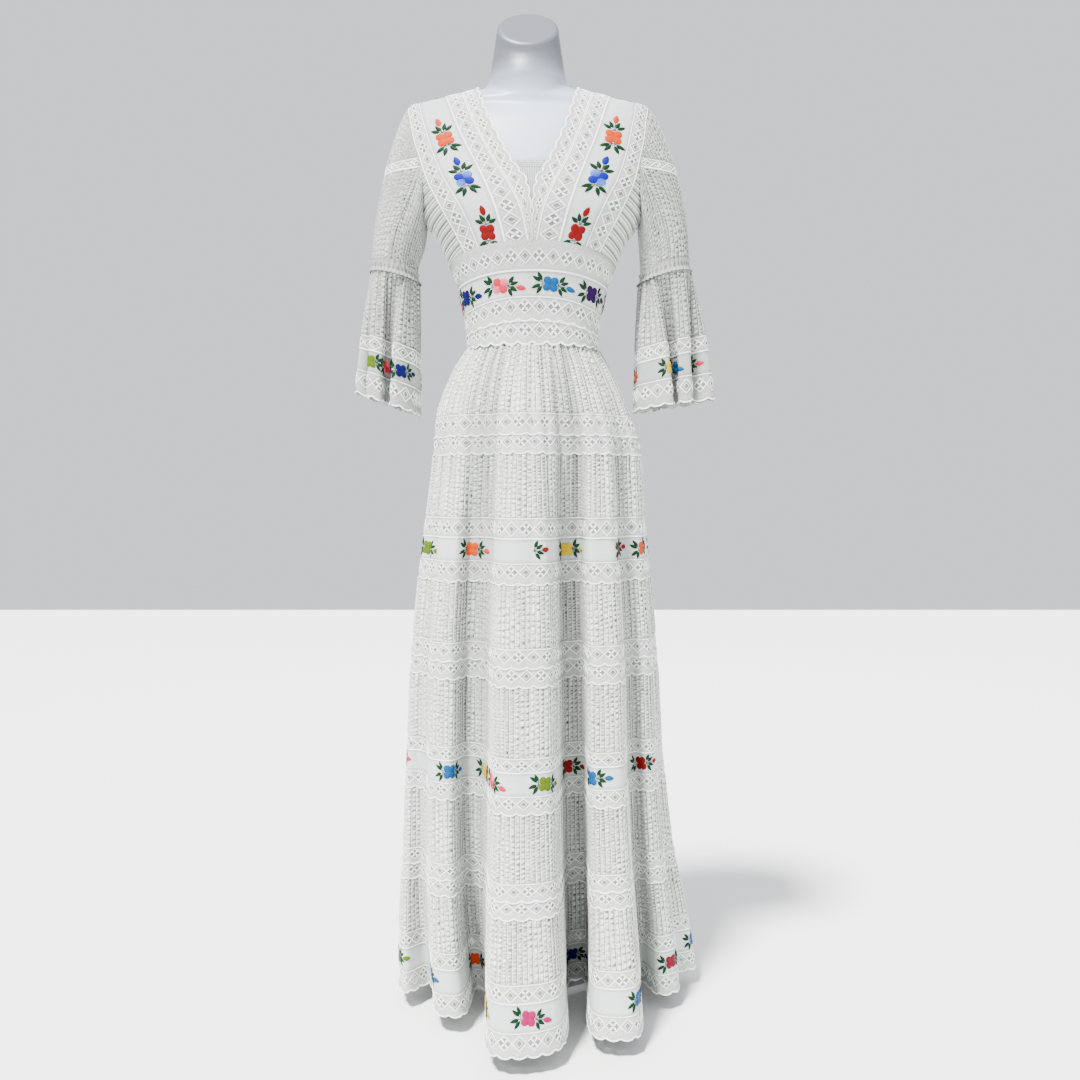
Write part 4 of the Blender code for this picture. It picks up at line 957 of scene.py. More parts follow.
def lace_sheet(name, cloth, node, edging, sizes, calm=None, over=0.0):
    """Lace: a net with a straight upper edge and a straight or scalloped lower edge."""
    repeats, middle, reach = lace_plan(cloth, edging, sizes)
    u = np.linspace(0, cloth.length, repeats * 16 + 1)
    share = np.append(np.linspace(0, 1, 7), 1.0)[:, None]
    level = calm(u) if calm else 1.0
    low = (EDGE_DROP - scallop(u, cloth.length / repeats / 2)) * level if edging else 0 * u
    v = low + (cloth.height - low) * share
    v[-1] = cloth.v[-1]
    lift = edge_lift(u, v) * level if edging else 0 * v
    lift = lift + over * np.clip(v / cloth.height, 0, 1) ** 3
    pattern = np.stack(np.broadcast_arrays(u * repeats / cloth.length, (v - middle) / reach), axis=-1)
    return lay_sheet(name, cloth, u, v, lift + LACE_LIFT, surfaces["lace"], node, pattern)


def plain_sheet(name, cloth, node):
    """A smooth cotton band."""
    columns = max(int(round(cloth.length / (3 * MM))), 8)
    u = np.linspace(0, cloth.length, columns + 1)[None]
    v = rows_up(cloth, 5 * MM)
    swell = np.sin(math.pi * np.clip(v / cloth.height, 0, 1))
    lift = BAND_WAVE_HEIGHT * np.sin(swaying(u, *BAND_WAVE)) * swell
    return lay_sheet(name, cloth, u, v, lift, surfaces["band"], node)


def ribbon(points, widths, height, closed=False):
    """Places (along, up, lift) and quads of a raised cord along flat points."""
    points = np.asarray(points, dtype=float)
    if closed:
        ahead = np.roll(points, -1, axis=0) - np.roll(points, 1, axis=0)
    else:
        ahead = np.gradient(points, axis=0)
    count = len(points)
    half = np.broadcast_to(np.asarray(widths, dtype=float) / 2, count)[:, None]
    aside = unit(np.stack([-ahead[:, 1], ahead[:, 0]], axis=-1)) * half
    verts = np.zeros((count, 3, 3))
    verts[:, 0, :2] = points + aside
    verts[:, 1, :2] = points
    verts[:, 2, :2] = points - aside
    verts[:, 1, 2] = height
    a = 3 * np.arange(count if closed else count - 1)
    b = (a + 3) % (3 * count)
    faces = np.concatenate([np.stack([a + side, a + side + 1, b + side + 1, b + side], axis=-1)
                            for side in (0, 1)])
    return verts.reshape(-1, 3), faces


def joined(parts):
    """One list of points and one of quads from several parts."""
    firsts = np.cumsum([0] + [len(part[0]) for part in parts[:-1]])
    points = np.concatenate([part[0] for part in parts])
    return points, np.concatenate([part[1] + first for part, first in zip(parts, firsts)])


def lace_cords(cloth, edging, sizes):
    """The raised cords of one repeat: crossed zigzags round a net diamond and a flower of four petals."""
    count, middle, reach = lace_plan(cloth, edging, sizes)
    length = cloth.length / count
    width = sizes.cord_width
    rise = sizes.cord_height
    steps = np.linspace(0, 1, 9)
    zigzag = 1 - np.abs((steps * 4) % 2 - 1)
    if edging:
        low = EDGE_DROP - scallop(steps * length, length / 2) + 1.0 * MM
    else:
        low = 0 * steps + CORD_BORDER
    along = ((middle + reach * zigzag, width), (middle - reach * zigzag, width),
             (0 * steps + cloth.height - CORD_BORDER, width), (low, 1.5 * width))
    cords = [ribbon(np.stack([steps * length, up], axis=-1), wide, rise) for up, wide in along]
    tall = reach / MEDALLION_HALF
    turns = np.linspace(0, 2 * math.pi, 4, endpoint=False)
    net = np.stack([DIAMOND_AT * length + DIAMOND_HALVES[0] * np.cos(turns),
                    middle + DIAMOND_HALVES[1] * tall * np.sin(turns)], axis=-1)
    cords.append(ribbon(net, 0.8 * width, rise, True))
    reaches = np.array(LACE_PETAL_REACHES) * MM
    for angle in np.radians((45, 135, 225, 315)):
        petal = np.stack([MEDALLION_AT * length + reaches * math.cos(angle),
                          middle + reaches * tall * math.sin(angle)], axis=-1)
        cords.append(ribbon(petal, np.array(LACE_PETAL_WIDTHS) * MM, 1.3 * rise))
    return joined(cords) + (count, length)


def template_object(name, batches, surface, colours=None):
    """One joined mesh from batches of placed shapes, with a thread colour or a painted shade value for each
    point.
    """
    points, faces = joined(batches)
    data = bpy.data.meshes.new(name)
    data.from_pydata(points.tolist(), [], faces.tolist())
    if colours is not None:
        layer = data.color_attributes.new("Thread", "FLOAT_COLOR", "POINT")
        layer.data.foreach_set("color", np.concatenate(colours).astype(np.float32).reshape(-1))
    else:
        float_attribute(data, "Shade", np.concatenate([batch[2] for batch in batches]))
    data.shade_smooth()
    data.materials.append(surface)
    made = link_object(name, data)
    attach(made, "root")
    return made


def place_cords(cloth, edging, sizes):
    """Raised cords all along a lace piece."""
    verts, faces, count, length = lace_cords(cloth, edging, sizes)
    u = verts[:, 0] + np.arange(count)[:, None] * length
    v = np.broadcast_to(verts[:, 1], u.shape)
    lift = np.broadcast_to(verts[:, 2], u.shape) + CORD_LIFT
    if edging:
        lift = lift + edge_lift(u, v)
    u = np.clip(u, 0, cloth.length)
    points = cloth.lay(u, np.clip(v, 0, cloth.height), lift).reshape(-1, 3)
    quads = (faces[None, :, ::-1] + np.arange(count)[:, None, None] * len(verts)).reshape(-1, 4)
    # Painted shade on the cords in the valleys of the folds, painted light on the crests
    return points, quads, cloth.light(u, v).reshape(-1)


def add_cloth(name, look, cloth, node, seed, sizes, **extra):
    """A piece of the kind that its row names."""
    if look == "tucked":
        tucked_sheet(name, cloth, node, seed, sizes, **extra)
    elif look == "plain":
        plain_sheet(name, cloth, node)
    else:
        lace_sheet(name, cloth, node, look == "edging", sizes, **extra)
        cord_batches.append(place_cords(cloth, look == "edging", sizes))


def linear(code):
    """Linear colour from an sRGB hex value."""
    parts = [int(code[i:i + 2], 16) / 255 for i in (1, 3, 5)]
    return [c / 12.92 if c <= 0.04045 else ((c + 0.055) / 1.055) ** 2.4 for c in parts] + [1.0]


surfaces = {}
cloths = {}
cord_batches = []


def add_node(tree, kind, settings=(), links=()):
    """One node with its settings, and links from other outputs to its inputs."""
    node = tree.nodes.new(kind)
    for name, value in settings:
        if isinstance(name, int) or name in node.inputs:
            node.inputs[name].default_value = value
        else:
            setattr(node, name, value)
    for name, output in links:
        tree.links.new(output, node.inputs[name])
    return node


def start_material(name, colour, roughness):
    """A new material with its shader set."""
    made = bpy.data.materials.new(name)
    made.use_nodes = True
    shader = made.node_tree.nodes["Principled BSDF"]
    shader.inputs["Base Color"].default_value = colour
    shader.inputs["Roughness"].default_value = roughness
    return made, made.node_tree, shader


def uv_map(tree, name, scale=None):
    """Coordinates of one UV map, scaled if wanted."""
    made = add_node(tree, "ShaderNodeUVMap", [("uv_map", name)]).outputs["UV"]
    if scale is None:
        return made
    return add_node(tree, "ShaderNodeMapping", [("Scale", scale)], [("Vector", made)]).outputs["Vector"]


def sums(tree, operation, first, second=0.0):
    """One math node; each side is an output or a number."""
    settings = [("operation", operation)]
    links = []
    for index, value in enumerate((first, second)):
        if isinstance(value, (int, float)):
            settings.append((index, float(value)))
        else:
            links.append((index, value))
    return add_node(tree, "ShaderNodeMath", settings, links).outputs[0]


def graded(tree, value, low, high, to_low=0.0, to_high=1.0):
    """A value moved from one range to another and held inside it."""
    return add_node(tree, "ShaderNodeMapRange", [(1, low), (2, high), (3, to_low), (4, to_high)],
                    [(0, value)]).outputs[0]


def blend(tree, share, low, high):
    """A colour between two others; each is an output or a colour."""
    settings = [("data_type", "RGBA")]
    links = [(0, share)]
    for index, value in ((6, low), (7, high)):
        if isinstance(value, (list, tuple)):
            settings.append((index, value))
        else:
            links.append((index, value))
    return add_node(tree, "ShaderNodeMix", settings, links).outputs[2]


def attribute(tree, name, output="Fac"):
    """A value or a colour that the mesh carries."""
    return add_node(tree, "ShaderNodeAttribute", [("attribute_name", name)]).outputs[output]


def noise(tree, coordinates, scale, detail):
    """A cloudy pattern from 0 to 1."""
    return add_node(tree, "ShaderNodeTexNoise", [("Scale", scale), ("Detail", detail)],
                    [("Vector", coordinates)]).outputs["Fac"]


def roughen(tree, shader, height, strength, depth):
    """Bump a surface by a height."""
    bump = add_node(tree, "ShaderNodeBump", [("Strength", strength), ("Distance", depth)],
                    [("Height", height)])
    tree.links.new(bump.outputs["Normal"], shader.inputs["Normal"])


def from_middle(tree, value, middle):
    """How far a value is from a middle one."""
    return sums(tree, "ABSOLUTE", sums(tree, "SUBTRACT", value, middle))


# Cotton: one wave to a thread, slubs, the painted shade line beside a ridge and the strokes of painted light
# and shade on the crinkle.
# A grade is the range that a value is read over, and what it gives at each end.
COTTON_THREAD = 0.9 * MM
BAND_THREAD = 0.7 * MM
THREAD_WAVE = 0.314
SLUB_SCALE = 0.12
SLUB_GRADE = (0.3, 0.7, 0.92, 1.0)
SHADE_LINE_FROM_RIDGE = 0.14
SHADE_LINE_GRADE = (0.02, 0.08, 0.26, 1.0)
CRINKLE_TURN = 0.5
CRINKLE_STRETCH = (0.8, 2.6, 1)
CRINKLE_SCALE = 1.6
CRINKLE_GRADE = (0.36, 0.60, 0.50, 1.15)

# Lace: the edges of the diamond and of the oval window, the net in them, the thread between them, and the
# painted shade that greys the lace and fills its openings
DIAMOND_GRADE = (0.62, 0.72, 1.0, 0.0)
OVAL_HALVES = (0.80, 0.66)
OVAL_GRADE = (0.85, 1.05, 1.0, 0.0)
NET_MESH = 1.6 * MM
NET_UNEVEN = 0.2
HOLE_GRADE = (0.16, 0.40, 1.0, 0.0)
DENSE_SCALE = 420.0
DENSE_GRADE = (0.38, 0.58, 0.58, 1.0)
WINDOW_GRADE = (0.0, 1.0, 0.50, 0.06)
ALPHA_GRADE = (0.0, 1.0, 1.0, 0.45)

STAND_COLOUR = (0.78, 0.79, 0.80, 1)


def weave_height(tree, thread):
    """Warp and weft threads with slubs, drawn coarse enough to show."""
    scaled = uv_map(tree, "UVMap", (1 / thread, 1 / thread, 1))
    warp, weft = (add_node(tree, "ShaderNodeTexWave", [("bands_direction", way), ("Scale", THREAD_WAVE)],
                           [("Vector", scaled)]).outputs["Fac"] for way in ("X", "Y"))
    slub = noise(tree, scaled, SLUB_SCALE, 3.0)
    return sums(tree, "ADD", sums(tree, "ADD", warp, weft), slub), slub


def make_cotton(name, colour, shade, thread, stitched):
    """Woven cotton lawn: matt with a soft sheen, greyed by painted shade in the valleys and beside the seams
    of the tucks, with strokes of painted light and shade for the crinkle of tucked cloth.
    """
    made, tree, shader = start_material(name, colour, 0.85)
    shader.inputs["Sheen Weight"].default_value = 0.12
    shader.inputs["Sheen Roughness"].default_value = 0.5
    height, slub = weave_height(tree, thread)
    share = sums(tree, "MULTIPLY", attribute(tree, "Shade"), graded(tree, slub, *SLUB_GRADE))
    if stitched:
        pattern = uv_map(tree, "Pattern")
        across = sums(tree, "FRACT", add_node(tree, "ShaderNodeSeparateXYZ", [],
                                              [("Vector", pattern)]).outputs["X"])
        # Painted shade line a little to each side of the ridge
        off = from_middle(tree, from_middle(tree, across, RIDGE_AT), SHADE_LINE_FROM_RIDGE)
        share = sums(tree, "MULTIPLY", share, graded(tree, off, *SHADE_LINE_GRADE))
        # Slanted strokes of painted light and shade for the crinkle
        turned = add_node(tree, "ShaderNodeMapping",
                          [("Rotation", (0, 0, CRINKLE_TURN)), ("Scale", CRINKLE_STRETCH)],
                          [("Vector", pattern)]).outputs["Vector"]
        stroke = graded(tree, noise(tree, turned, CRINKLE_SCALE, 2.0), *CRINKLE_GRADE)
        share = sums(tree, "MULTIPLY", share, stroke)
    tree.links.new(blend(tree, share, shade, colour), shader.inputs["Base Color"])
    roughen(tree, shader, height, 0.5, 0.15 * MM)
    return made


def make_lace(name, colour, shade):
    """Cotton lace: dense between the borders and the crossed cords, open net inside the diamonds."""
    made, tree, shader = start_material(name, colour, 0.9)
    split = add_node(tree, "ShaderNodeSeparateXYZ", [], [("Vector", uv_map(tree, "Pattern"))])
    along = split.outputs["X"]
    halves = sums(tree, "FRACT", sums(tree, "MULTIPLY", along, 2.0))
    far = sums(tree, "MULTIPLY", from_middle(tree, halves, 0.5), 2.0)
    high = sums(tree, "ABSOLUTE", split.outputs["Y"])
    diamond = graded(tree, sums(tree, "ADD", far, high), *DIAMOND_GRADE)
    wide, tall = (sums(tree, "POWER", sums(tree, "DIVIDE", side, reach), 2.0)
                  for side, reach in zip((far, high), OVAL_HALVES))
    oval = graded(tree, sums(tree, "ADD", wide, tall), *OVAL_GRADE)
    second = sums(tree, "GREATER_THAN", sums(tree, "FRACT", along), 0.5)
    window = sums(tree, "ADD", sums(tree, "MULTIPLY", oval, second),
                  sums(tree, "MULTIPLY", diamond, sums(tree, "SUBTRACT", 1.0, second)))
    net = add_node(tree, "ShaderNodeTexVoronoi", [("Scale", 1.0), ("Randomness", NET_UNEVEN)],
                   [("Vector", uv_map(tree, "UVMap", (1 / NET_MESH, 1 / NET_MESH, 1)))])
    hole = graded(tree, net.outputs["Distance"], *HOLE_GRADE)
    dense = graded(tree, noise(tree, uv_map(tree, "UVMap"), DENSE_SCALE, 2.0), *DENSE_GRADE)
    # Painted shade: the lace greys towards the dark net colour, most in its openings as if shade showed
    # through them, and more in fold valleys and beside seams
    share = sums(tree, "MULTIPLY", dense, attribute(tree, "Shade"))
    share = sums(tree, "MULTIPLY", share, graded(tree, window, *WINDOW_GRADE))
    tree.links.new(blend(tree, share, shade, colour), shader.inputs["Base Color"])
    open_net = sums(tree, "MULTIPLY", window, hole)
    tree.links.new(graded(tree, open_net, *ALPHA_GRADE), shader.inputs["Alpha"])
    roughen(tree, shader, dense, 0.6, 0.3 * MM)
    return made


def object_place(tree):
    """Coordinates of the object, in metres."""
    return add_node(tree, "ShaderNodeTexCoord").outputs["Object"]


def make_thread(name):
    """Stranded cotton in satin stitch: each petal has its own colour and a silky sheen."""
    made, tree, shader = start_material(name, (0.8, 0.1, 0.1, 1), 0.62)
    shader.inputs["Specular IOR Level"].default_value = 0.12
    shader.inputs["Sheen Weight"].default_value = 0.01
    tree.links.new(attribute(tree, "Thread", "Color"), shader.inputs["Base Color"])
    roughen(tree, shader, noise(tree, object_place(tree), 1600.0, 2.0), 0.5, 0.3 * MM)
    return made


def make_plain(name, colour, roughness, bump_scale, bump_depth):
    """A smooth moulded or painted surface with a slight unevenness."""
    made, tree, shader = start_material(name, colour, roughness)
    roughen(tree, shader, noise(tree, object_place(tree), bump_scale, 4.0), 0.3, bump_depth)
    return made


def make_shaded(name, colour, shade, roughness, bump_scale, bump_depth):
    """A plain surface that turns to its painted shade colour where the mesh's Shade values say so."""
    made = make_plain(name, colour, roughness, bump_scale, bump_depth)
    tree = made.node_tree
    mixed = blend(tree, attribute(tree, "Shade"), shade, colour)
    tree.links.new(mixed, tree.nodes["Principled BSDF"].inputs["Base Color"])
    return made


# Threads in sRGB, and the colour that one petal in two fades to
THREADS = {
    "orange": "#B03800", "red": "#6C0002", "royal": "#000C84", "pale_blue": "#5C7CCC", "sky": "#00467A",
    "pink": "#B81C34", "pale_pink": "#D87080", "hot_pink": "#94004C", "crimson": "#66001C",
    "yellow": "#AE9000", "lime": "#486000", "purple": "#200038", "navy": "#00004C", "leaf": "#002A12",
}
FADES = {"royal": "pale_blue", "pink": "pale_pink"}

# Flowers in view: for each band the way they point, and how far along it from 0 to 1 each one is
FLOWERS = (
    ("bodice_band_left", -1, ((0.7050, "orange"), (0.8280, "royal"), (0.9700, "red"))),
    ("bodice_band_right", 1, ((0.2990, "orange"), (0.1745, "royal"), (0.0300, "red"))),
    ("midriff_band", 1, ((0.3170, "navy"), (0.4260, "pink"), (0.5420, "sky"), (0.6520, "purple"))),
    ("sleeve_flounce_band_left", 1, ((0.7010, "lime"), (0.7870, "pink"), (0.9190, "navy"))),
    ("sleeve_flounce_band_right", 1, ((0.9590, "orange"), (0.1360, "yellow"), (0.2320, "sky"))),
    ("skirt_band_1", 1, ((0.0440, "lime"), (0.1430, "orange"), (0.3360, "yellow"), (0.4560, "red"),
                         (0.5130, "orange"))),
    ("skirt_band_2", 1, ((0.0126, "pink"), (0.1080, "sky"), (0.1630, "yellow"), (0.2060, "pink"),
                         (0.2650, "lime"), (0.3370, "red"), (0.4050, "sky"), (0.5100, "red"))),
    ("skirt_band_3", 1, ((0.0190, "lime"), (0.0760, "sky"), (0.1390, "orange"), (0.2050, "yellow"),
                         (0.2430, "hot_pink"), (0.3430, "navy"), (0.4490, "sky"), (0.5440, "crimson"),
                         (0.5915, "sky"))),
)

# Sprays whose flower is tucked into a fold, so that only the bud and its leaves are stitched
BUDS = (
    ("skirt_band_1", 0.2515, "red"),
    ("sleeve_flounce_band_right", 0.3600, "pink"),
)

# Flowers out of sight in front: band, from and to along it, how many, and the way they point
BACK_FLOWERS = (
    ("bodice_band_left", 0.050, 0.505, 5, -1),
    ("bodice_band_right", 0.495, 0.950, 5, 1),
    ("midriff_band", 0.060, 0.225, 2, 1),
    ("midriff_band", 0.765, 0.940, 2, 1),
    ("sleeve_flounce_band_left", 0.160, 0.480, 3, 1),
    ("sleeve_flounce_band_right", 0.560, 0.780, 2, 1),
    ("skirt_band_1", 0.585, 0.985, 6, 1),
    ("skirt_band_2", 0.610, 0.960, 6, 1),
    ("skirt_band_3", 0.640, 0.975, 9, 1),
)
BACK_TONES = ("orange", "navy", "pink", "yellow", "red", "sky", "purple")


def petal_grid(length, width, tip, rows, columns):
    """A domed stitched shape: points along, across and up, from its root at the origin.

    It is round where the tip is 0 and pointed where the tip is 1.
    """
    # Rows closer together at both ends, with the outline of a petal and that of a leaf across them
    t = 0.5 - 0.5 * np.cos(np.linspace(0.06, 1, rows) * math.pi)[:, None]
    s = np.linspace(-1, 1, columns)[None]
    round_edge = np.sqrt(np.clip(1 - (2 * t - 1) ** 2, 0, 1))
    leaf_edge = np.sin(math.pi * t ** 0.8) ** 0.8
    half = width / 2 * np.maximum(round_edge * (1 - tip) + leaf_edge * tip, 0.04)
    up = np.sqrt(np.clip(1 - s * s, 0, 1)) * np.sin(math.pi * np.clip(t, 0.06, 0.94)) ** 0.45
    return np.stack([length * t + 0 * s, half * s, up], axis=-1)


def inside(places, size):
    """Places squeezed together where they would run past either edge of a band."""
    low, high = places.min(), places.max()
    return np.interp(places, (low, high), (max(low, SPRAY_MARGIN), min(high, size - SPRAY_MARGIN)))


def grid_faces(rows, columns):
    """Quads of a grid of points."""
    i, j = np.meshgrid(np.arange(rows - 1), np.arange(columns - 1), indexing="ij")
    a = (i * columns + j).reshape(-1)
    return np.stack([a, a + columns, a + columns + 1, a + 1], axis=-1)


def flower_parts(petal, second, whole, sizes):
    """Petals, leaves, stems and bud of one spray, each as points, quads and colour."""
    parts = []

    def add(length, width, tip, angle, x, y, thick, shades, rows, columns):
        grid = petal_grid(length, width, tip, rows, columns)
        c = math.cos(math.radians(angle))
        s = math.sin(math.radians(angle))
        points = np.stack([x + grid[..., 0] * c - grid[..., 1] * s,
                           y + grid[..., 0] * s + grid[..., 1] * c,
                           grid[..., 2] * thick * sizes.stitch_height + STITCH_LIFT], axis=-1)
        low, high = (np.array(linear(THREADS[shade])) for shade in shades)
        share = np.linspace(0, 1, rows)[:, None, None] ** 0.8
        stripe = STRIPE_LIGHT + STRIPE_LIGHTER * (np.arange(columns) % 2)[None, :, None]
        # Painted shade on the rim of each shape, less towards its tip
        rim = 1 - RIM_SHADE * np.abs(np.linspace(-1, 1, columns))[None, :, None] ** 6 * (1 - 0.5 * share)
        colour = (low * (1 - share) + high * share) * stripe * rim + np.zeros((rows, columns, 4))
        colour[..., 3] = 1
        parts.append((points.reshape(-1, 3), grid_faces(rows, columns), colour.reshape(-1, 4)))

    def leaf(*place_and_size, rows=6, columns=5):
        add(*place_and_size, ("leaf", "leaf"), rows, columns)

    if whole:
        for angle, tone in ((45, second), (135, petal), (225, second), (315, petal)):
            turn = math.radians(angle)
            add(*PETAL, 0.0, angle, PETAL_START * math.cos(turn), PETAL_START * math.sin(turn), 1.0,
                (petal, tone), 9, 7)
        add(KNOT, KNOT, 0.0, 0, -KNOT / 2, 0.0, KNOT_THICK, (petal, petal), 5, 5)
    for root, length, angles in (NEAR_FAN, FAR_FAN) if whole else (NEAR_FAN,):
        for angle in angles:
            turn = math.radians(angle)
            leaf(length, LEAF_WIDTH, 1.0, angle, root + LEAF_START * math.cos(turn),
                 LEAF_START * math.sin(turn), LEAF_THICK)
            leaf(LEAF_STEM, STEM_WIDTH, STEM_TIP, angle, root, 0.0, STEM_THICK, rows=4, columns=3)
    leaf(BUD_STEM[0], STEM_WIDTH, STEM_TIP, BUD_STEM_TILT, BUD_STEM[1], 0.0, STEM_THICK, rows=4, columns=3)
    add(*BUD, BUD_TIP, BUD_TILT, *BUD_PLACE, 1.0, (petal, petal), 6, 5)
    return parts


class DressOperator:
    """What the operators of the dress share."""

    bl_options = {"REGISTER"}

    def execute(self, context):
        self.build(context.scene.dress_sizes, context.scene.dress_colours)
        return {"FINISHED"}


class DRESS_OT_surfaces(DressOperator, bpy.types.Operator):
    """Make the cloth, lace, thread and form materials"""

    bl_idname = "dress.surfaces"
    bl_label = "Materials"

    def build(self, sizes, colours):
        cotton, band, shade, lace, window, form, neck = (
            list(getattr(colours, name)) + [1.0] for name in Colours.__annotations__)
        surfaces["cotton"] = make_cotton("cotton_lawn_tucked", cotton, shade, COTTON_THREAD, True)
        surfaces["band"] = make_cotton("cotton_batiste_band", band, shade, BAND_THREAD, False)
        surfaces["plain"] = make_cotton("cotton_lawn_plain", cotton, shade, COTTON_THREAD, False)
        surfaces["lace"] = make_lace("cotton_bobbin_lace", lace, window)
        # The cords turn to the painted shade colour in fold valleys, and the form to the painted shade colour
        # of its neck
        surfaces["cord"] = make_shaded("cotton_cord_raised", cotton, shade, 0.9, 900.0, 0.2 * MM)
        surfaces["thread"] = make_thread("stranded_cotton_satin_stitch")
        surfaces["form"] = make_shaded("moulded_plastic_form", form, neck, 0.42, 60.0, 0.3 * MM)
        surfaces["metal"] = make_plain("painted_steel_stand", STAND_COLOUR, 0.32, 300.0, 0.1 * MM)


class DRESS_OT_skirt(DressOperator, bpy.types.Operator):
    """Lay the tiers, lace and bands of the skirt"""

    bl_idname = "dress.skirt"
    bl_label = "Skirt"

    def build(self, sizes, colours):
        for index, (name, look, top, low) in enumerate(SKIRT):
            middle = (top + low) / 2
            fractions = even_fractions(lambda s: skirt_points(s, [middle])[0], SKIRT_COLUMNS_ROUND)
            foot = low - (EDGE_DROP if look == "edging" else 0.0)
            cloth = Cloth(skirt_points(fractions, np.linspace(foot, top, BASE_ROWS)), closed=True)
            cloths[name] = cloth
            extra = {}
            if look == "tucked":
                extra["gather"] = WAIST_GATHER if index == 0 else TIER_GATHER
            add_cloth(name + "_cloth", look, cloth, name, 11 + index, sizes, **extra)


class DRESS_OT_midriff(DressOperator, bpy.types.Operator):
    """Lay the four bands of the midriff"""

    bl_idname = "dress.midriff"
    bl_label = "Midriff"

    def build(self, sizes, colours):
        turn = np.linspace(-math.pi, math.pi, 361)
        share = np.linspace(0, 1, BASE_ROWS)[:, None]
        for index, (name, look, top_side, top_rise, low_side, low_rise) in enumerate(MIDRIFF):
            over = MIDRIFF_OVER if index == 0 else 0.0
            low = seam_heights(turn, low_side, low_rise) - (EDGE_DROP if look == "edging" else 0.0)
            top = seam_heights(turn, top_side, top_rise) + over
            cloth = Cloth(place(around(turn[None] + 0 * share, low * (1 - share) + top * share)), closed=True)
            cloths[name] = cloth
            extra = {"over": 1.2 * MM} if over else {}
            add_cloth(name + "_cloth", look, cloth, name, 41 + index, sizes, **extra)


def strip_cloth(outer_edge, inner_edge):
    """A strip over the right shoulder: columns from front to back, rows from outside to inside."""
    rises = np.linspace(FIRST_RISE, 180 - FIRST_RISE, 181)[None]
    share = np.linspace(0, 1, BASE_ROWS)[:, None]
    x = strip[outer_edge](rises) * (1 - share) + strip[inner_edge](rises) * share
    return over_shoulder(x, rises + 0 * share)


class DRESS_OT_bodice(DressOperator, bpy.types.Operator):
    """Lay the lace and embroidered strips over both shoulders"""

    bl_idname = "dress.bodice"
    bl_label = "Bodice strips"

    def build(self, sizes, colours):
        rows = (("bodice_lace_inner", "lace", "insertion", "edging"),
                ("bodice_band", "plain", "band", "insertion"),
                ("bodice_lace_outer", "lace", "outer", "band"))
        for name, look, outer_edge, inner_edge in rows:
            points = strip_cloth(outer_edge, inner_edge)
            for side, grid in (("right", points), ("left", mirror(points))):
                cloth = Cloth(place(grid))
                node = name + "_" + side
                cloths[node] = cloth
                add_cloth(node + "_cloth", look, cloth, node, 61, sizes)


def back_neck(name, first):
    """A smooth line through one column of the back neck, from its row of that number to the last."""
    values = column(BACK_NECK, BACK_NECK_COLUMNS, name)[first:]
    return smooth_line(np.linspace(0, 1, len(values)), values)


class DRESS_OT_neck(DressOperator, bpy.types.Operator):
    """Lay the scalloped edging round the V and the back neck"""

    bl_idname = "dress.neck"
    bl_label = "Neck edging"

    def build(self, sizes, colours):
        front = np.linspace(FIRST_RISE, 90, 90)
        share = np.linspace(0, 1, 60)[1:]
        starts = (strip["neck"](front), front, strip["edging"](front), front)
        inner_x, inner_angle, outer_x, outer_angle = (
            np.concatenate([start, back_neck(name, 0)(share)])
            for name, start in zip(BACK_NECK_COLUMNS, starts))
        across = np.linspace(0, 1, BASE_ROWS)[:, None]
        half = over_shoulder(inner_x * (1 - across) + outer_x * across,
                             inner_angle * (1 - across) + outer_angle * across)
        cloth = Cloth(place(np.concatenate([half[:, :-1], mirror(half)], axis=1)[:, ::-1]))
        cloths["neck_edging"] = cloth
        reach = np.abs(cloth.points[0, :, 0] - AXIS_X)
        lace_sheet("neck_edging_cloth", cloth, "neck_edging", True, sizes,
                   calm=lambda u: np.clip(np.interp(u, cloth.u, reach) / (8 * MM) - 0.2, 0, 1))
        cord_batches.append(place_cords(cloth, True, sizes))


def armhole_points(z, back):
    """Points of the armhole edge below the join, at heights."""
    reach = armhole["reach"](z)
    depth = body["back"](z) if back else -body["front"](z)
    return np.stack([reach, depth * roundness(reach, z) ** (1 / SECTION_POWER), z + 0 * reach], axis=-1)


def to_turn(points):
    """Turn and height of surface points, for laying out the side panels."""
    share = np.clip(np.abs(points[..., 0]) / body["half_width"](points[..., 2]), 0, 1)
    turn = np.arcsin(share ** (SECTION_POWER / 2))
    turn = np.where(points[..., 1] > 0, math.pi - turn, turn)
    return np.stack([turn, points[..., 2]], axis=-1)


def side_points(back, rows, columns):
    """A side panel's grid from the midriff up and from the outer lace to the side seam."""
    join, foot_angle = (JOIN_BACK, 180.0) if back else (JOIN_FRONT, 0.0)
    up = np.linspace(0, 1, rows)
    across = np.linspace(0, 1, columns)
    rise = foot_angle + (join - foot_angle) * up
    inner_edge = to_turn(over_shoulder(strip["outer"](rise), rise))
    side, top_rise = MIDRIFF[0][2:4]
    low_height, top_height = ARMHOLE[0][0], ARMHOLE[-1][0]
    side_edge = np.stack([np.full(rows, math.pi / 2), side + (low_height - side) * up], axis=-1)
    top_edge = to_turn(armhole_points(top_height + (low_height - top_height) * across, back))
    top_edge[0] = inner_edge[-1]
    top_edge[-1] = side_edge[-1]
    low_turn = inner_edge[0, 0] + (side_edge[0, 0] - inner_edge[0, 0]) * across
    low_edge = np.stack([low_turn, seam_heights(low_turn, side, top_rise)], axis=-1)
    grid = patch(low_edge, top_edge, inner_edge, side_edge)
    return around(grid[..., 0], grid[..., 1])


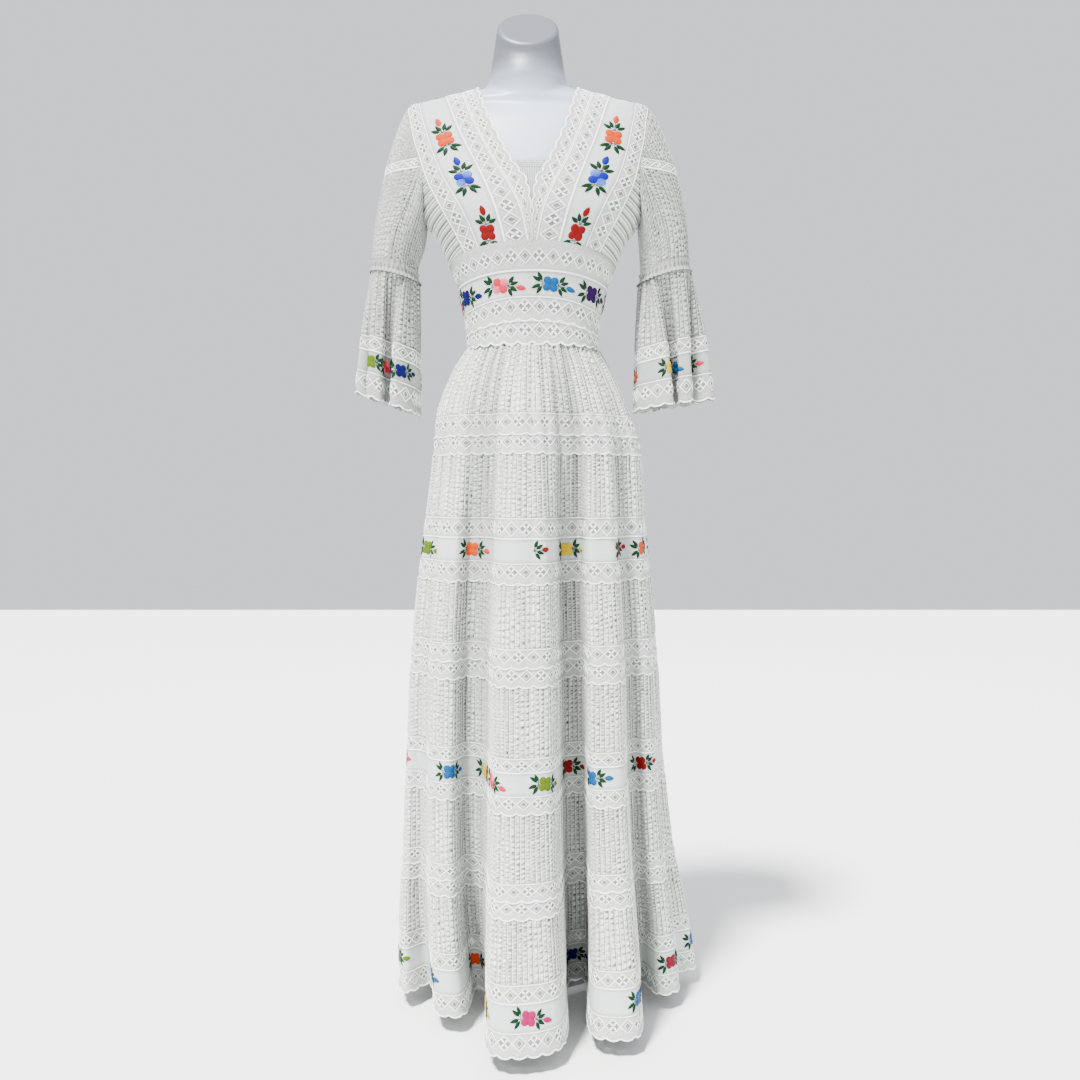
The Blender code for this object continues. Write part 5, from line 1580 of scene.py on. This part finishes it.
class DRESS_OT_panels(DressOperator, bpy.types.Operator):
    """Lay the side panels, the back panels, the inset and the lapped strip"""

    bl_idname = "dress.panels"
    bl_label = "Panels"

    def build(self, sizes, colours):
        for back, name in ((False, "front_side"), (True, "back_side")):
            grid = side_points(back, 61, 41)
            rows = np.swapaxes(grid, 0, 1)[::-1]
            if back:
                rows = rows[:, ::-1]
            for side, points in (("right", rows), ("left", mirror(rows))):
                node = name + "_" + side
                cloth = Cloth(place(points))
                if back:
                    tucked_sheet(node + "_cloth", cloth, node, 71, sizes, spread=BACK_SPREAD)
                else:
                    self.bust_tucks(node, cloth)
        self.back_panels(sizes)
        self.inset()
        self.placket()

    def bust_tucks(self, node, cloth):
        """Pairs of raised tucks, side by side, that slope down from the lace towards the side seam."""
        columns = int(round(cloth.length / (1.0 * MM)))
        u = np.linspace(0, cloth.length, columns + 1)[None]
        v = rows_up(cloth, 1.6 * MM)
        spots = cloth.lay(u, v, 0.0) - np.array([AXIS_X, AXIS_Y, 0.0])
        slope = math.radians(BUST_TUCK_SLOPE)
        down = np.abs(spots[..., 0]) * math.sin(slope) + spots[..., 2] * math.cos(slope)
        down = down / BUST_TUCK_SPACING
        across = down - np.floor(down)
        ridge, groove = (sum(high * bell(across, at, width) for at, width, high in shapes)
                         for shapes in (BUST_RIDGES, BUST_GROOVES))
        wave = BUST_WAVE_HEIGHT * np.sin(down * 40 + 500 * spots[..., 1])
        # Painted highlights on the ridges and painted shade in the grooves
        level, lighter, darker = BUST_LIGHT
        shade = level + lighter * ridge - darker * groove
        lift = BUST_TUCK_HEIGHT * ridge - BUST_GROOVE_DEPTH * groove + wave
        lay_sheet(node + "_cloth", cloth, u, v, lift, surfaces["plain"], node, shade=shade)

    def back_panels(self, sizes):
        """The two panels that meet in the middle of the back, under the neck edging."""
        up = np.linspace(0, 1, 41)
        across = np.linspace(0, 1, 31)
        top = np.stack([back_neck(name, 1)(1 - across) for name in ("outer_x", "outer_angle")], axis=-1)
        side_angle = 180 + (BACK_NECK[1][3] - 180) * up
        side = np.stack([strip["edging"](side_angle), side_angle], axis=-1)
        low = np.stack([side[0, 0] * across, np.full(len(across), 180.0)], axis=-1)
        middle = np.stack([0 * up, 180 + (top[0, 1] - 180) * up], axis=-1)
        spread = patch(low, top, middle, side)
        grid = over_shoulder(np.maximum(spread[..., 0], 0.2 * MM), spread[..., 1])[:, ::-1]
        for side_name, points in (("right", grid), ("left", mirror(grid))):
            node = "back_centre_" + side_name
            tucked_sheet(node + "_cloth", Cloth(place(points)), node, 73, sizes)

    def inset(self):
        """The inset behind the V: pleats below, three tucks and a scalloped top."""
        rises = np.linspace(INSET_RISES[0], INSET_RISES[-1], 25)[:, None]
        half = np.interp(rises, INSET_RISES, INSET_HALVES)
        cloth = Cloth(place(over_shoulder(half * np.linspace(-1, 1, 81)[None], rises)))
        u = np.linspace(0, cloth.length, 141)[None]
        top = cloth.height - INSET_SCALLOP_DEPTH * np.abs(np.cos(math.pi * u / INSET_SCALLOP))
        v = top * np.linspace(0, 1, 61)[:, None]
        down = cloth.height - v
        below = np.clip((down - INSET_PLEATS_FROM) / (1 * MM), 0, 1)
        pleat = INSET_PLEAT_HEIGHT * np.sin(u * 2 * math.pi / INSET_PLEAT) * below
        tuck = sum(INSET_TUCK_HEIGHT * bell(down, level, INSET_TUCK_WIDTH) for level in INSET_TUCK_LEVELS)
        groove = sum(bell(down, level + 2 * INSET_TUCK_WIDTH, INSET_GROOVE_WIDTH)
                     for level in INSET_TUCK_LEVELS)
        # Painted light and shade across the pleats, painted highlights on the tucks and painted shade in the
        # grooves below them
        level, lighter, darker, pleated = INSET_LIGHT
        shade = level + pleated * (pleat / INSET_PLEAT_HEIGHT) + lighter * tuck / MM - darker * groove
        lay_sheet("modesty_inset_cloth", cloth, u, v, pleat + tuck - INSET_SINK, surfaces["band"],
                  "modesty_inset", shade=shade)

    def placket(self):
        """The lapped strip down the middle of the back."""
        share = np.linspace(1, -1, 7)[None]
        rises = np.linspace(178, BACK_NECK[-1][3] + 1.6, 40)[:, None]
        bodice = over_shoulder(PLACKET_HALF * np.abs(share) + 0 * rises, rises + 0 * share)
        heights = np.linspace(PLACKET_LOW, PLACKET_JOIN, 20)[:, None]
        turn = math.pi - PLACKET_HALF * share / PLACKET_RADIUS
        grid = np.concatenate([around(turn + 0 * heights, heights + 0 * share), bodice])
        grid[..., 0] = PLACKET_HALF * share
        cloth = Cloth(place(grid))
        u = np.linspace(0, cloth.length, 15)[None]
        v = np.linspace(0, cloth.height, 120)[:, None]
        edge = PLACKET_STITCH * bell(np.minimum(u, cloth.length - u), PLACKET_STITCH_IN, PLACKET_STITCH)
        lay_sheet("back_placket_cloth", cloth, u, v, PLACKET_LIFT - edge, surfaces["band"], "back_placket")


def armhole_loop():
    """The whole armhole on the right: underarm, front, over the ridge and down the back.

    With it come the places in it where the ridge begins and ends.
    """
    heights = np.linspace(ARMHOLE[0][0], ARMHOLE[-1][0], 31)
    front = armhole_points(heights, False)
    front[0, 1] = 0
    ridge = np.linspace(JOIN_FRONT, JOIN_BACK, 90)
    top = over_shoulder(strip["outer"](ridge), ridge)
    back = armhole_points(heights[::-1], True)
    back[-1, 1] = 0
    loop = np.concatenate([front[:-1], top, back[1:]])
    first = len(front) - 1
    return loop + np.array([ARMHOLE_GAP, 0.0, 0.0]), first, first + len(top) - 1


def sleeve_drape(start, row):
    """A function from share of drop to sleeve points, for each armhole point."""
    centre = (row["inner"] + row["outer"]) / 2
    half = (row["outer"] - row["inner"]) / 2
    turn = np.arctan2(start[:, 1], start[:, 2] - ARM_MIDDLE)
    end = np.stack([centre + half * np.cos(turn), row["half_depth"] * np.sin(turn), 0 * turn], axis=-1)
    end[:, 2] = ELBOW_HEIGHT + row["slope"] * (end[:, 0] - centre)
    low = start[:, 2].min()
    lift = (start[:, 2] - low) / (start[:, 2].max() - low)
    from_start = np.stack([row["out"] * lift, 0 * lift, -SLEEVE_DROP - 0.1 * (1 - lift)], axis=-1)
    to_end = np.stack([0 * lift, 0 * lift, -SLEEVE_PULL * (0.35 + 0.65 * lift)], axis=-1)
    return lambda share: hermite(np.asarray(share, dtype=float)[..., None], start, from_start, end, to_end)


def share_at_height(read, height, count):
    """Share of drop at which each column comes down to a height."""
    return last_before(count, 0.0, 1.0, lambda share: read(share)[:, 2] > height)


class DRESS_OT_sleeves(DressOperator, bpy.types.Operator):
    """Lay the sleeve caps, lace, lower sleeves, elbow bands and flounces"""

    bl_idname = "dress.sleeves"
    bl_label = "Sleeves"

    def build(self, sizes, colours):
        for index, values in enumerate(SLEEVES):
            row = dict(zip(SLEEVE_COLUMNS, values))
            self.arm(row, sizes, 81 + 10 * index)
            self.flounce(row, sizes, 85 + 10 * index)

    def laid(self, name, grid, side, closed):
        """The node and the cloth of one piece of a sleeve, on its own side."""
        node = name + "_" + side
        cloths[node] = Cloth(place(mirror(grid) if side == "left" else grid), closed)
        return node, cloths[node]

    def add(self, name, look, grid, side, seed, sizes, closed, **extra):
        """One piece of a sleeve."""
        node, cloth = self.laid(name, grid, side, closed)
        add_cloth(node + "_cloth", look, cloth, node, seed, sizes, **extra)

    def arm(self, row, sizes, seed):
        """Cap, lace and lower sleeve, and the strip over the elbow."""
        start, first, last = armhole_loop()
        count = len(start)
        read = sleeve_drape(start, row)
        cap = slice(first, last + 1)
        side = row["side"]

        def edge_row(height, share_from):
            points = read(share_at_height(read, height, count) * share_from)
            for end, step in ((first, -1), (last, 1)):
                near = start[end + 8 * step]
                reach = (start[end, 2] - height) / (start[end, 2] - near[2])
                points[end] = start[end] + (near - start[end]) * reach * share_from
            return points

        top = np.stack([edge_row(ARM_LACE_TOP, share)[cap] for share in np.linspace(1, 0, 20)])
        self.add("sleeve_cap", "tucked", top, side, seed, sizes, False)
        level = edge_row(ARM_LACE_LOW, 1.0)
        share = np.linspace(0, 1, BASE_ROWS)[:, None, None]
        lace = level[cap] * (1 - share) + edge_row(ARM_LACE_TOP, 1.0)[cap] * share
        self.add("sleeve_lace", "lace", lace, side, seed + 1, sizes, False)
        begin = share_at_height(read, ARM_LACE_LOW, count)
        begin[:first + 1] = 0
        begin[last:] = 0
        shares = np.linspace(1, 0, 40)
        rows = np.stack([read(begin + (1 - begin) * share) for share in shares])
        for end in (first, last):
            rows[:, end] += (level[end] - start[end]) * (1 - shares)[:, None]
        closed = np.concatenate([rows, rows[:, :1]], axis=1)
        self.add("sleeve_lower", "tucked", closed, side, seed + 2, sizes, True)
        self.elbow(side, closed[:3])

    def elbow(self, side, rings):
        """A strip of lace over the elbow seam, ruffled along both edges."""
        ring = rings[0]
        out = unit((ring - ring[:-1].mean(axis=0)) * np.array([1.0, 1.0, 0.0]))
        rows = []
        for share in np.linspace(1, 0, BASE_ROWS):
            point = ring - np.array([0.0, 0.0, ELBOW_BAND * 1.1 * share])
            rows.append(point + out * (ELBOW_CLEAR + ELBOW_FLARE * share ** 1.5) * MM)
        rows += [higher + out * ELBOW_CLEAR * MM for higher in rings[1:]]
        node, cloth = self.laid("sleeve_elbow", np.stack(rows), side, True)
        u = np.linspace(0, cloth.length, 8 * ELBOW_RUFFLES + 1)[None]
        share = np.linspace(0, 1, 11)[:, None]
        turn = 2 * math.pi * u / cloth.length
        low = np.sin(swaying(turn, ELBOW_RUFFLES, RUFFLE_LOW_SWAYS))
        high = np.sin(swaying(turn, ELBOW_RUFFLES - 5, RUFFLE_HIGH_SWAYS))
        wave = low * np.clip(1 - 2.6 * share, 0, 1) + high * np.clip(2.6 * share - 1.6, 0, 1)
        lift = ELBOW_RUFFLE_HEIGHT * wave + 1.0 * MM * (2 * share - 1) ** 2
        pattern = np.stack(np.broadcast_arrays(u * 20 / cloth.length, 3.0 * (share - 0.5)), axis=-1)
        # Painted light and shade on the ruffles: lighter where they rise, darker where they dip
        lay_sheet(node + "_cloth", cloth, u, share * cloth.height, lift, surfaces["lace"], node, pattern,
                  0.92 + 0.25 * wave)

    def flounce(self, row, sizes, seed):
        """The four pieces of a flounce, from the elbow to its folded hem."""
        side = row["side"]
        centre = (row["inner"] + row["outer"]) / 2
        half = (row["outer"] - row["inner"]) / 2 + FLOUNCE_OUT
        line = fold_line(SLEEVE_FOLDS[side], SLEEVE_FOLD_COLUMNS)
        fractions = even_fractions(line, FLOUNCE_COLUMNS_ROUND)
        hem = line(fractions)
        reach = 24
        hem_around = np.concatenate([hem[-reach - 1:-1], hem, hem[1:reach + 1]])
        kernel = np.ones(2 * reach + 1) / (2 * reach + 1)
        calm = np.stack([np.convolve(hem_around[:, axis], kernel, mode="valid") for axis in (0, 1)], axis=-1)
        outward = unit(calm - hem[:-1].mean(axis=0))
        depth = np.clip(((hem - calm) * outward).sum(axis=-1), None, 0)
        hem = hem + outward * (FLOUNCE_DEEPER * depth)[:, None]
        corners = line(np.arange(25) / 25)
        turn = np.arctan2(hem[0, 1], hem[0, 0] - corners[:, 0].mean()) + 2 * math.pi * fractions
        start = np.stack([centre + half * np.cos(turn), (row["half_depth"] + FLOUNCE_OUT) * np.sin(turn)],
                         axis=-1)
        out = unit(start - np.array([centre, 0.0]))
        ripple = FLOUNCE_WAVE_HEIGHT * np.sin(swaying(turn, *FLOUNCE_WAVE))
        top = FLOUNCE[0][2]
        low = FLOUNCE[-1][3]

        def ring(height):
            share = np.clip((top - height) / (top - low), 0, 1.1)
            plan = start + (hem - start) * (share * (1.6 - 0.6 * share))
            plan = plan + out * (ripple * math.sin(math.pi * min(0.25 + share, 1.0)))[:, None]
            tilt = row["slope"] + (row["hem_slope"] - row["slope"]) * share
            return np.column_stack([plan, height + tilt * (plan[:, 0] - centre)])

        for index, (name, look, piece_top, piece_low) in enumerate(FLOUNCE):
            foot = piece_low - (EDGE_DROP if look == "edging" else 0.0)
            grid = np.stack([ring(height) for height in np.linspace(foot, piece_top, 2 * BASE_ROWS)])
            extra = {"gather": SLEEVE_GATHER} if look == "tucked" else {}
            self.add("sleeve_" + name, look, grid, side, seed + index, sizes, True, **extra)


class DRESS_OT_cords(DressOperator, bpy.types.Operator):
    """Join the raised cords of all the lace"""

    bl_idname = "dress.cords"
    bl_label = "Lace cords"

    def build(self, sizes, colours):
        half = len(cord_batches) // 2
        template_object("lace_cords_lower", cord_batches[:half], surfaces["cord"])
        template_object("lace_cords_upper", cord_batches[half:], surfaces["cord"])


class DRESS_OT_flowers(DressOperator, bpy.types.Operator):
    """Stitch the flowers on the bands"""

    bl_idname = "dress.flowers"
    bl_label = "Flowers"

    def build(self, sizes, colours):
        rows = [(band, along, tone, FADES.get(tone, tone), way, True)
                for band, way, spots in FLOWERS for along, tone in spots]
        rows += [(band, along, tone, tone, 1, False) for band, along, tone in BUDS]
        for band, start, end, count, way in BACK_FLOWERS:
            for along in np.linspace(start, end, count):
                tone = BACK_TONES[len(rows) % len(BACK_TONES)]
                rows.append((band, along, tone, tone, way, True))
        batches = []
        shades = []
        for index, (band, along, petal, second, way, whole) in enumerate(rows):
            cloth = cloths[band]
            scale = SPRAY_SCALE[band.split("_")[0]]
            tilt = math.radians(SPRAY_TILT * math.sin(7 * index))
            for points, faces, colour in flower_parts(petal, second, whole, sizes):
                x = points[:, 0] * math.cos(tilt) - points[:, 1] * math.sin(tilt)
                y = points[:, 0] * math.sin(tilt) + points[:, 1] * math.cos(tilt)
                u = along * cloth.length + way * x * scale
                v = inside(cloth.height / 2 + y * scale, cloth.height)
                if not cloth.closed:
                    u = inside(u, cloth.length)
                batches.append((cloth.lay(u, v, points[:, 2]), faces if way > 0 else faces[:, ::-1]))
                shades.append(colour)
        template_object("embroidered_flowers", batches, surfaces["thread"], shades)


class DRESS_OT_form(DressOperator, bpy.types.Operator):
    """Shape the smooth dress form and finish its stand"""

    bl_idname = "dress.form"
    bl_label = "Dress form"

    def build(self, sizes, colours):
        turn = np.linspace(0, 2 * math.pi, FORM_COLUMNS_ROUND)
        rings = self.torso(turn) + self.neck(turn)
        low = rings[0].mean(axis=0)
        high = rings[-1][:-1].mean(axis=0)
        rings = [low + (rings[0] - low) * share for share in FORM_BASE_SHARES] + rings
        rings = rings + [high + (rings[-1] - high) * share for share in FORM_CAP_SHARES]
        grid = np.stack(rings)
        uv = np.stack(np.broadcast_arrays(turn * 0.1, grid[..., 2]), axis=-1)
        # Painted shade on the neck of the form, growing between two heights
        light = 1 - ease(grid[..., 2], NECK_SHADE_FROM, NECK_SHADE_TO)
        made = grid_object("dress_form_smooth", grid, uv, uv, light, True, surfaces["form"])
        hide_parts("dress_form")
        for name in ("stand_pole", "stand_foot"):
            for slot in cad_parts[name].material_slots:
                slot.material = surfaces["metal"]

    def torso(self, turn):
        """Rings from the hips to the shoulders, running out into the neck."""
        across, ahead = section_turn(turn)
        shoulders = tuple((row[0] - FORM_CLEAR, row[1] - FORM_CLEAR, row[2] - FORM_CLEAR, row[3] - FORM_CLEAR)
                          for row in BODY if row[0] >= SHOULDER_FROM)
        shape = table_lines(FORM + shoulders, FORM_COLUMNS, "height")
        first, count = FORM_SHOULDER_RINGS
        spans = FORM_RINGS + ((first, shoulders[-1][0], count),)
        heights = np.concatenate([np.linspace(*span) for span in spans])
        rings = []
        for z in heights:
            x = shape["half_width"](z) * across
            y = -np.where(ahead > 0, shape["front"](z), shape["back"](z)) * ahead
            if z >= NECK_BLEND_FROM:
                reach = np.hypot(x / NECK[0][2], y / NECK[0][3])
                grow = (1 + (1 / reach) ** NECK_BLEND) ** (1 / NECK_BLEND)
                x = x * grow
                y = y * grow
            rings.append(place(np.stack([x, y, np.full(len(turn), z)], axis=-1)))
        return rings

    def neck(self, turn):
        """Rings of the neck, each tilted further forward than the one below."""
        places = np.arange(len(NECK))
        neck = {name: smooth_line(places, column(NECK, NECK_COLUMNS, name)) for name in NECK_COLUMNS}
        rings = []
        for step in np.concatenate([np.linspace(0, 4, 25), np.linspace(4.1, 5, 6)]):
            slope = math.radians(neck["tilt"](step))
            depth = neck["half_depth"](step) * np.cos(turn)
            x = neck["half_width"](step) * np.sin(turn) + LEAN + AXIS_X
            y = -neck["forward"](step) - depth * math.cos(slope) + AXIS_Y
            rings.append(np.stack([x, y, neck["height"](step) - depth * math.sin(slope)], axis=-1))
        return rings


# Studio: place, strength, width in degrees and colour of the sun, then place, size and watts of each panel
LIGHTS_AIM = (0.0, 0.0, 0.75)
SUN_PLACE = (-0.75, -1.15, 3.2)
SUN_STRENGTH = 15.0
SUN_WIDTH = 9
SUN_COLOUR = (1.0, 0.99, 0.97)
PANELS = (
    ("fill", (2.6, -1.8, 1.6), 2.4, 8.0),
    ("back", (0.4, 2.8, 2.6), 2.0, 50.0),
)
SKY_STRENGTH = 1.15
SKY_COLOUR = (0.93, 0.95, 1.0, 1)
FLOOR_HALF = 6.0
FLOOR_COLOUR = (0.86, 0.86, 0.86, 1)
CAMERA_PLACE = (0.0078, -1.8, 0.808)
CAMERA_DOWN = 2.47
CAMERA_LENS = 38.7


class DRESS_OT_stage(DressOperator, bpy.types.Operator):
    """Set the floor, the soft lights and the camera"""

    bl_idname = "dress.stage"
    bl_label = "Stage"

    def build(self, sizes, colours):
        scene = bpy.context.scene
        mesh = bmesh.new()
        bmesh.ops.create_grid(mesh, x_segments=1, y_segments=1, size=FLOOR_HALF)
        data = bpy.data.meshes.new("floor")
        mesh.to_mesh(data)
        mesh.free()
        data.materials.append(make_plain("pale_studio_floor", FLOOR_COLOUR, 0.8, 20.0, 0.1 * MM))
        floor = link_object("floor", data)
        world = bpy.data.worlds.new("studio")
        world.use_nodes = True
        sky = world.node_tree.nodes["Background"].inputs
        sky["Color"].default_value = SKY_COLOUR
        sky["Strength"].default_value = SKY_STRENGTH
        scene.world = world
        sun = bpy.data.lights.new("key", "SUN")
        sun.energy = SUN_STRENGTH
        sun.angle = math.radians(SUN_WIDTH)
        sun.color = SUN_COLOUR
        self.aim("key", sun, SUN_PLACE)
        for name, spot, size, power in PANELS:
            lamp = bpy.data.lights.new(name, "AREA")
            lamp.shape = "SQUARE"
            lamp.size = size
            lamp.energy = power
            self.aim(name, lamp, spot)
        camera = bpy.data.cameras.new("camera")
        camera.lens = CAMERA_LENS
        camera.sensor_width = 36.0
        eye = link_object("camera", camera)
        eye.location = CAMERA_PLACE
        eye.rotation_euler = (math.radians(90 - CAMERA_DOWN), 0.0, 0.0)
        scene.camera = eye

    def aim(self, name, lamp, spot):
        """Put a light in its place, turned to the dress."""
        item = link_object(name, lamp)
        item.location = spot
        aim = np.array(LIGHTS_AIM) - np.array(spot)
        item.rotation_euler = (math.atan2(math.hypot(aim[0], aim[1]), -aim[2]), 0.0,
                               math.atan2(-aim[0], aim[1]))


OPERATORS = (
    DRESS_OT_surfaces, DRESS_OT_skirt, DRESS_OT_midriff, DRESS_OT_bodice, DRESS_OT_neck, DRESS_OT_panels,
    DRESS_OT_sleeves, DRESS_OT_cords, DRESS_OT_flowers, DRESS_OT_form, DRESS_OT_stage,
)


class DRESS_PT_panel(bpy.types.Panel):
    """Sizes, colours and the steps that build the dress"""

    bl_idname = "DRESS_PT_panel"
    bl_label = "Tucked lace dress"
    bl_space_type = "VIEW_3D"
    bl_region_type = "UI"
    bl_category = "Dress"

    def draw(self, context):
        layout = self.layout
        for group in (context.scene.dress_sizes, context.scene.dress_colours):
            for name in group.__annotations__:
                layout.prop(group, name)
        for operator in OPERATORS:
            layout.operator(operator.bl_idname)


CLASSES = (Colours, Sizes) + OPERATORS + (DRESS_PT_panel,)


def register():
    """Register the classes and their settings."""
    for item in CLASSES:
        bpy.utils.register_class(item)
    bpy.types.Scene.dress_sizes = bpy.props.PointerProperty(type=Sizes)
    bpy.types.Scene.dress_colours = bpy.props.PointerProperty(type=Colours)


def unregister():
    """Remove the settings and the classes."""
    del bpy.types.Scene.dress_sizes
    del bpy.types.Scene.dress_colours
    for item in reversed(CLASSES):
        bpy.utils.unregister_class(item)


def main():
    """Build the dress step by step."""
    register()
    bpy.ops.dress.surfaces()
    bpy.ops.dress.skirt()
    bpy.ops.dress.midriff()
    bpy.ops.dress.bodice()
    bpy.ops.dress.neck()
    bpy.ops.dress.panels()
    bpy.ops.dress.sleeves()
    bpy.ops.dress.cords()
    bpy.ops.dress.flowers()
    bpy.ops.dress.form()
    bpy.ops.dress.stage()


if __name__ == "__main__":
    main()
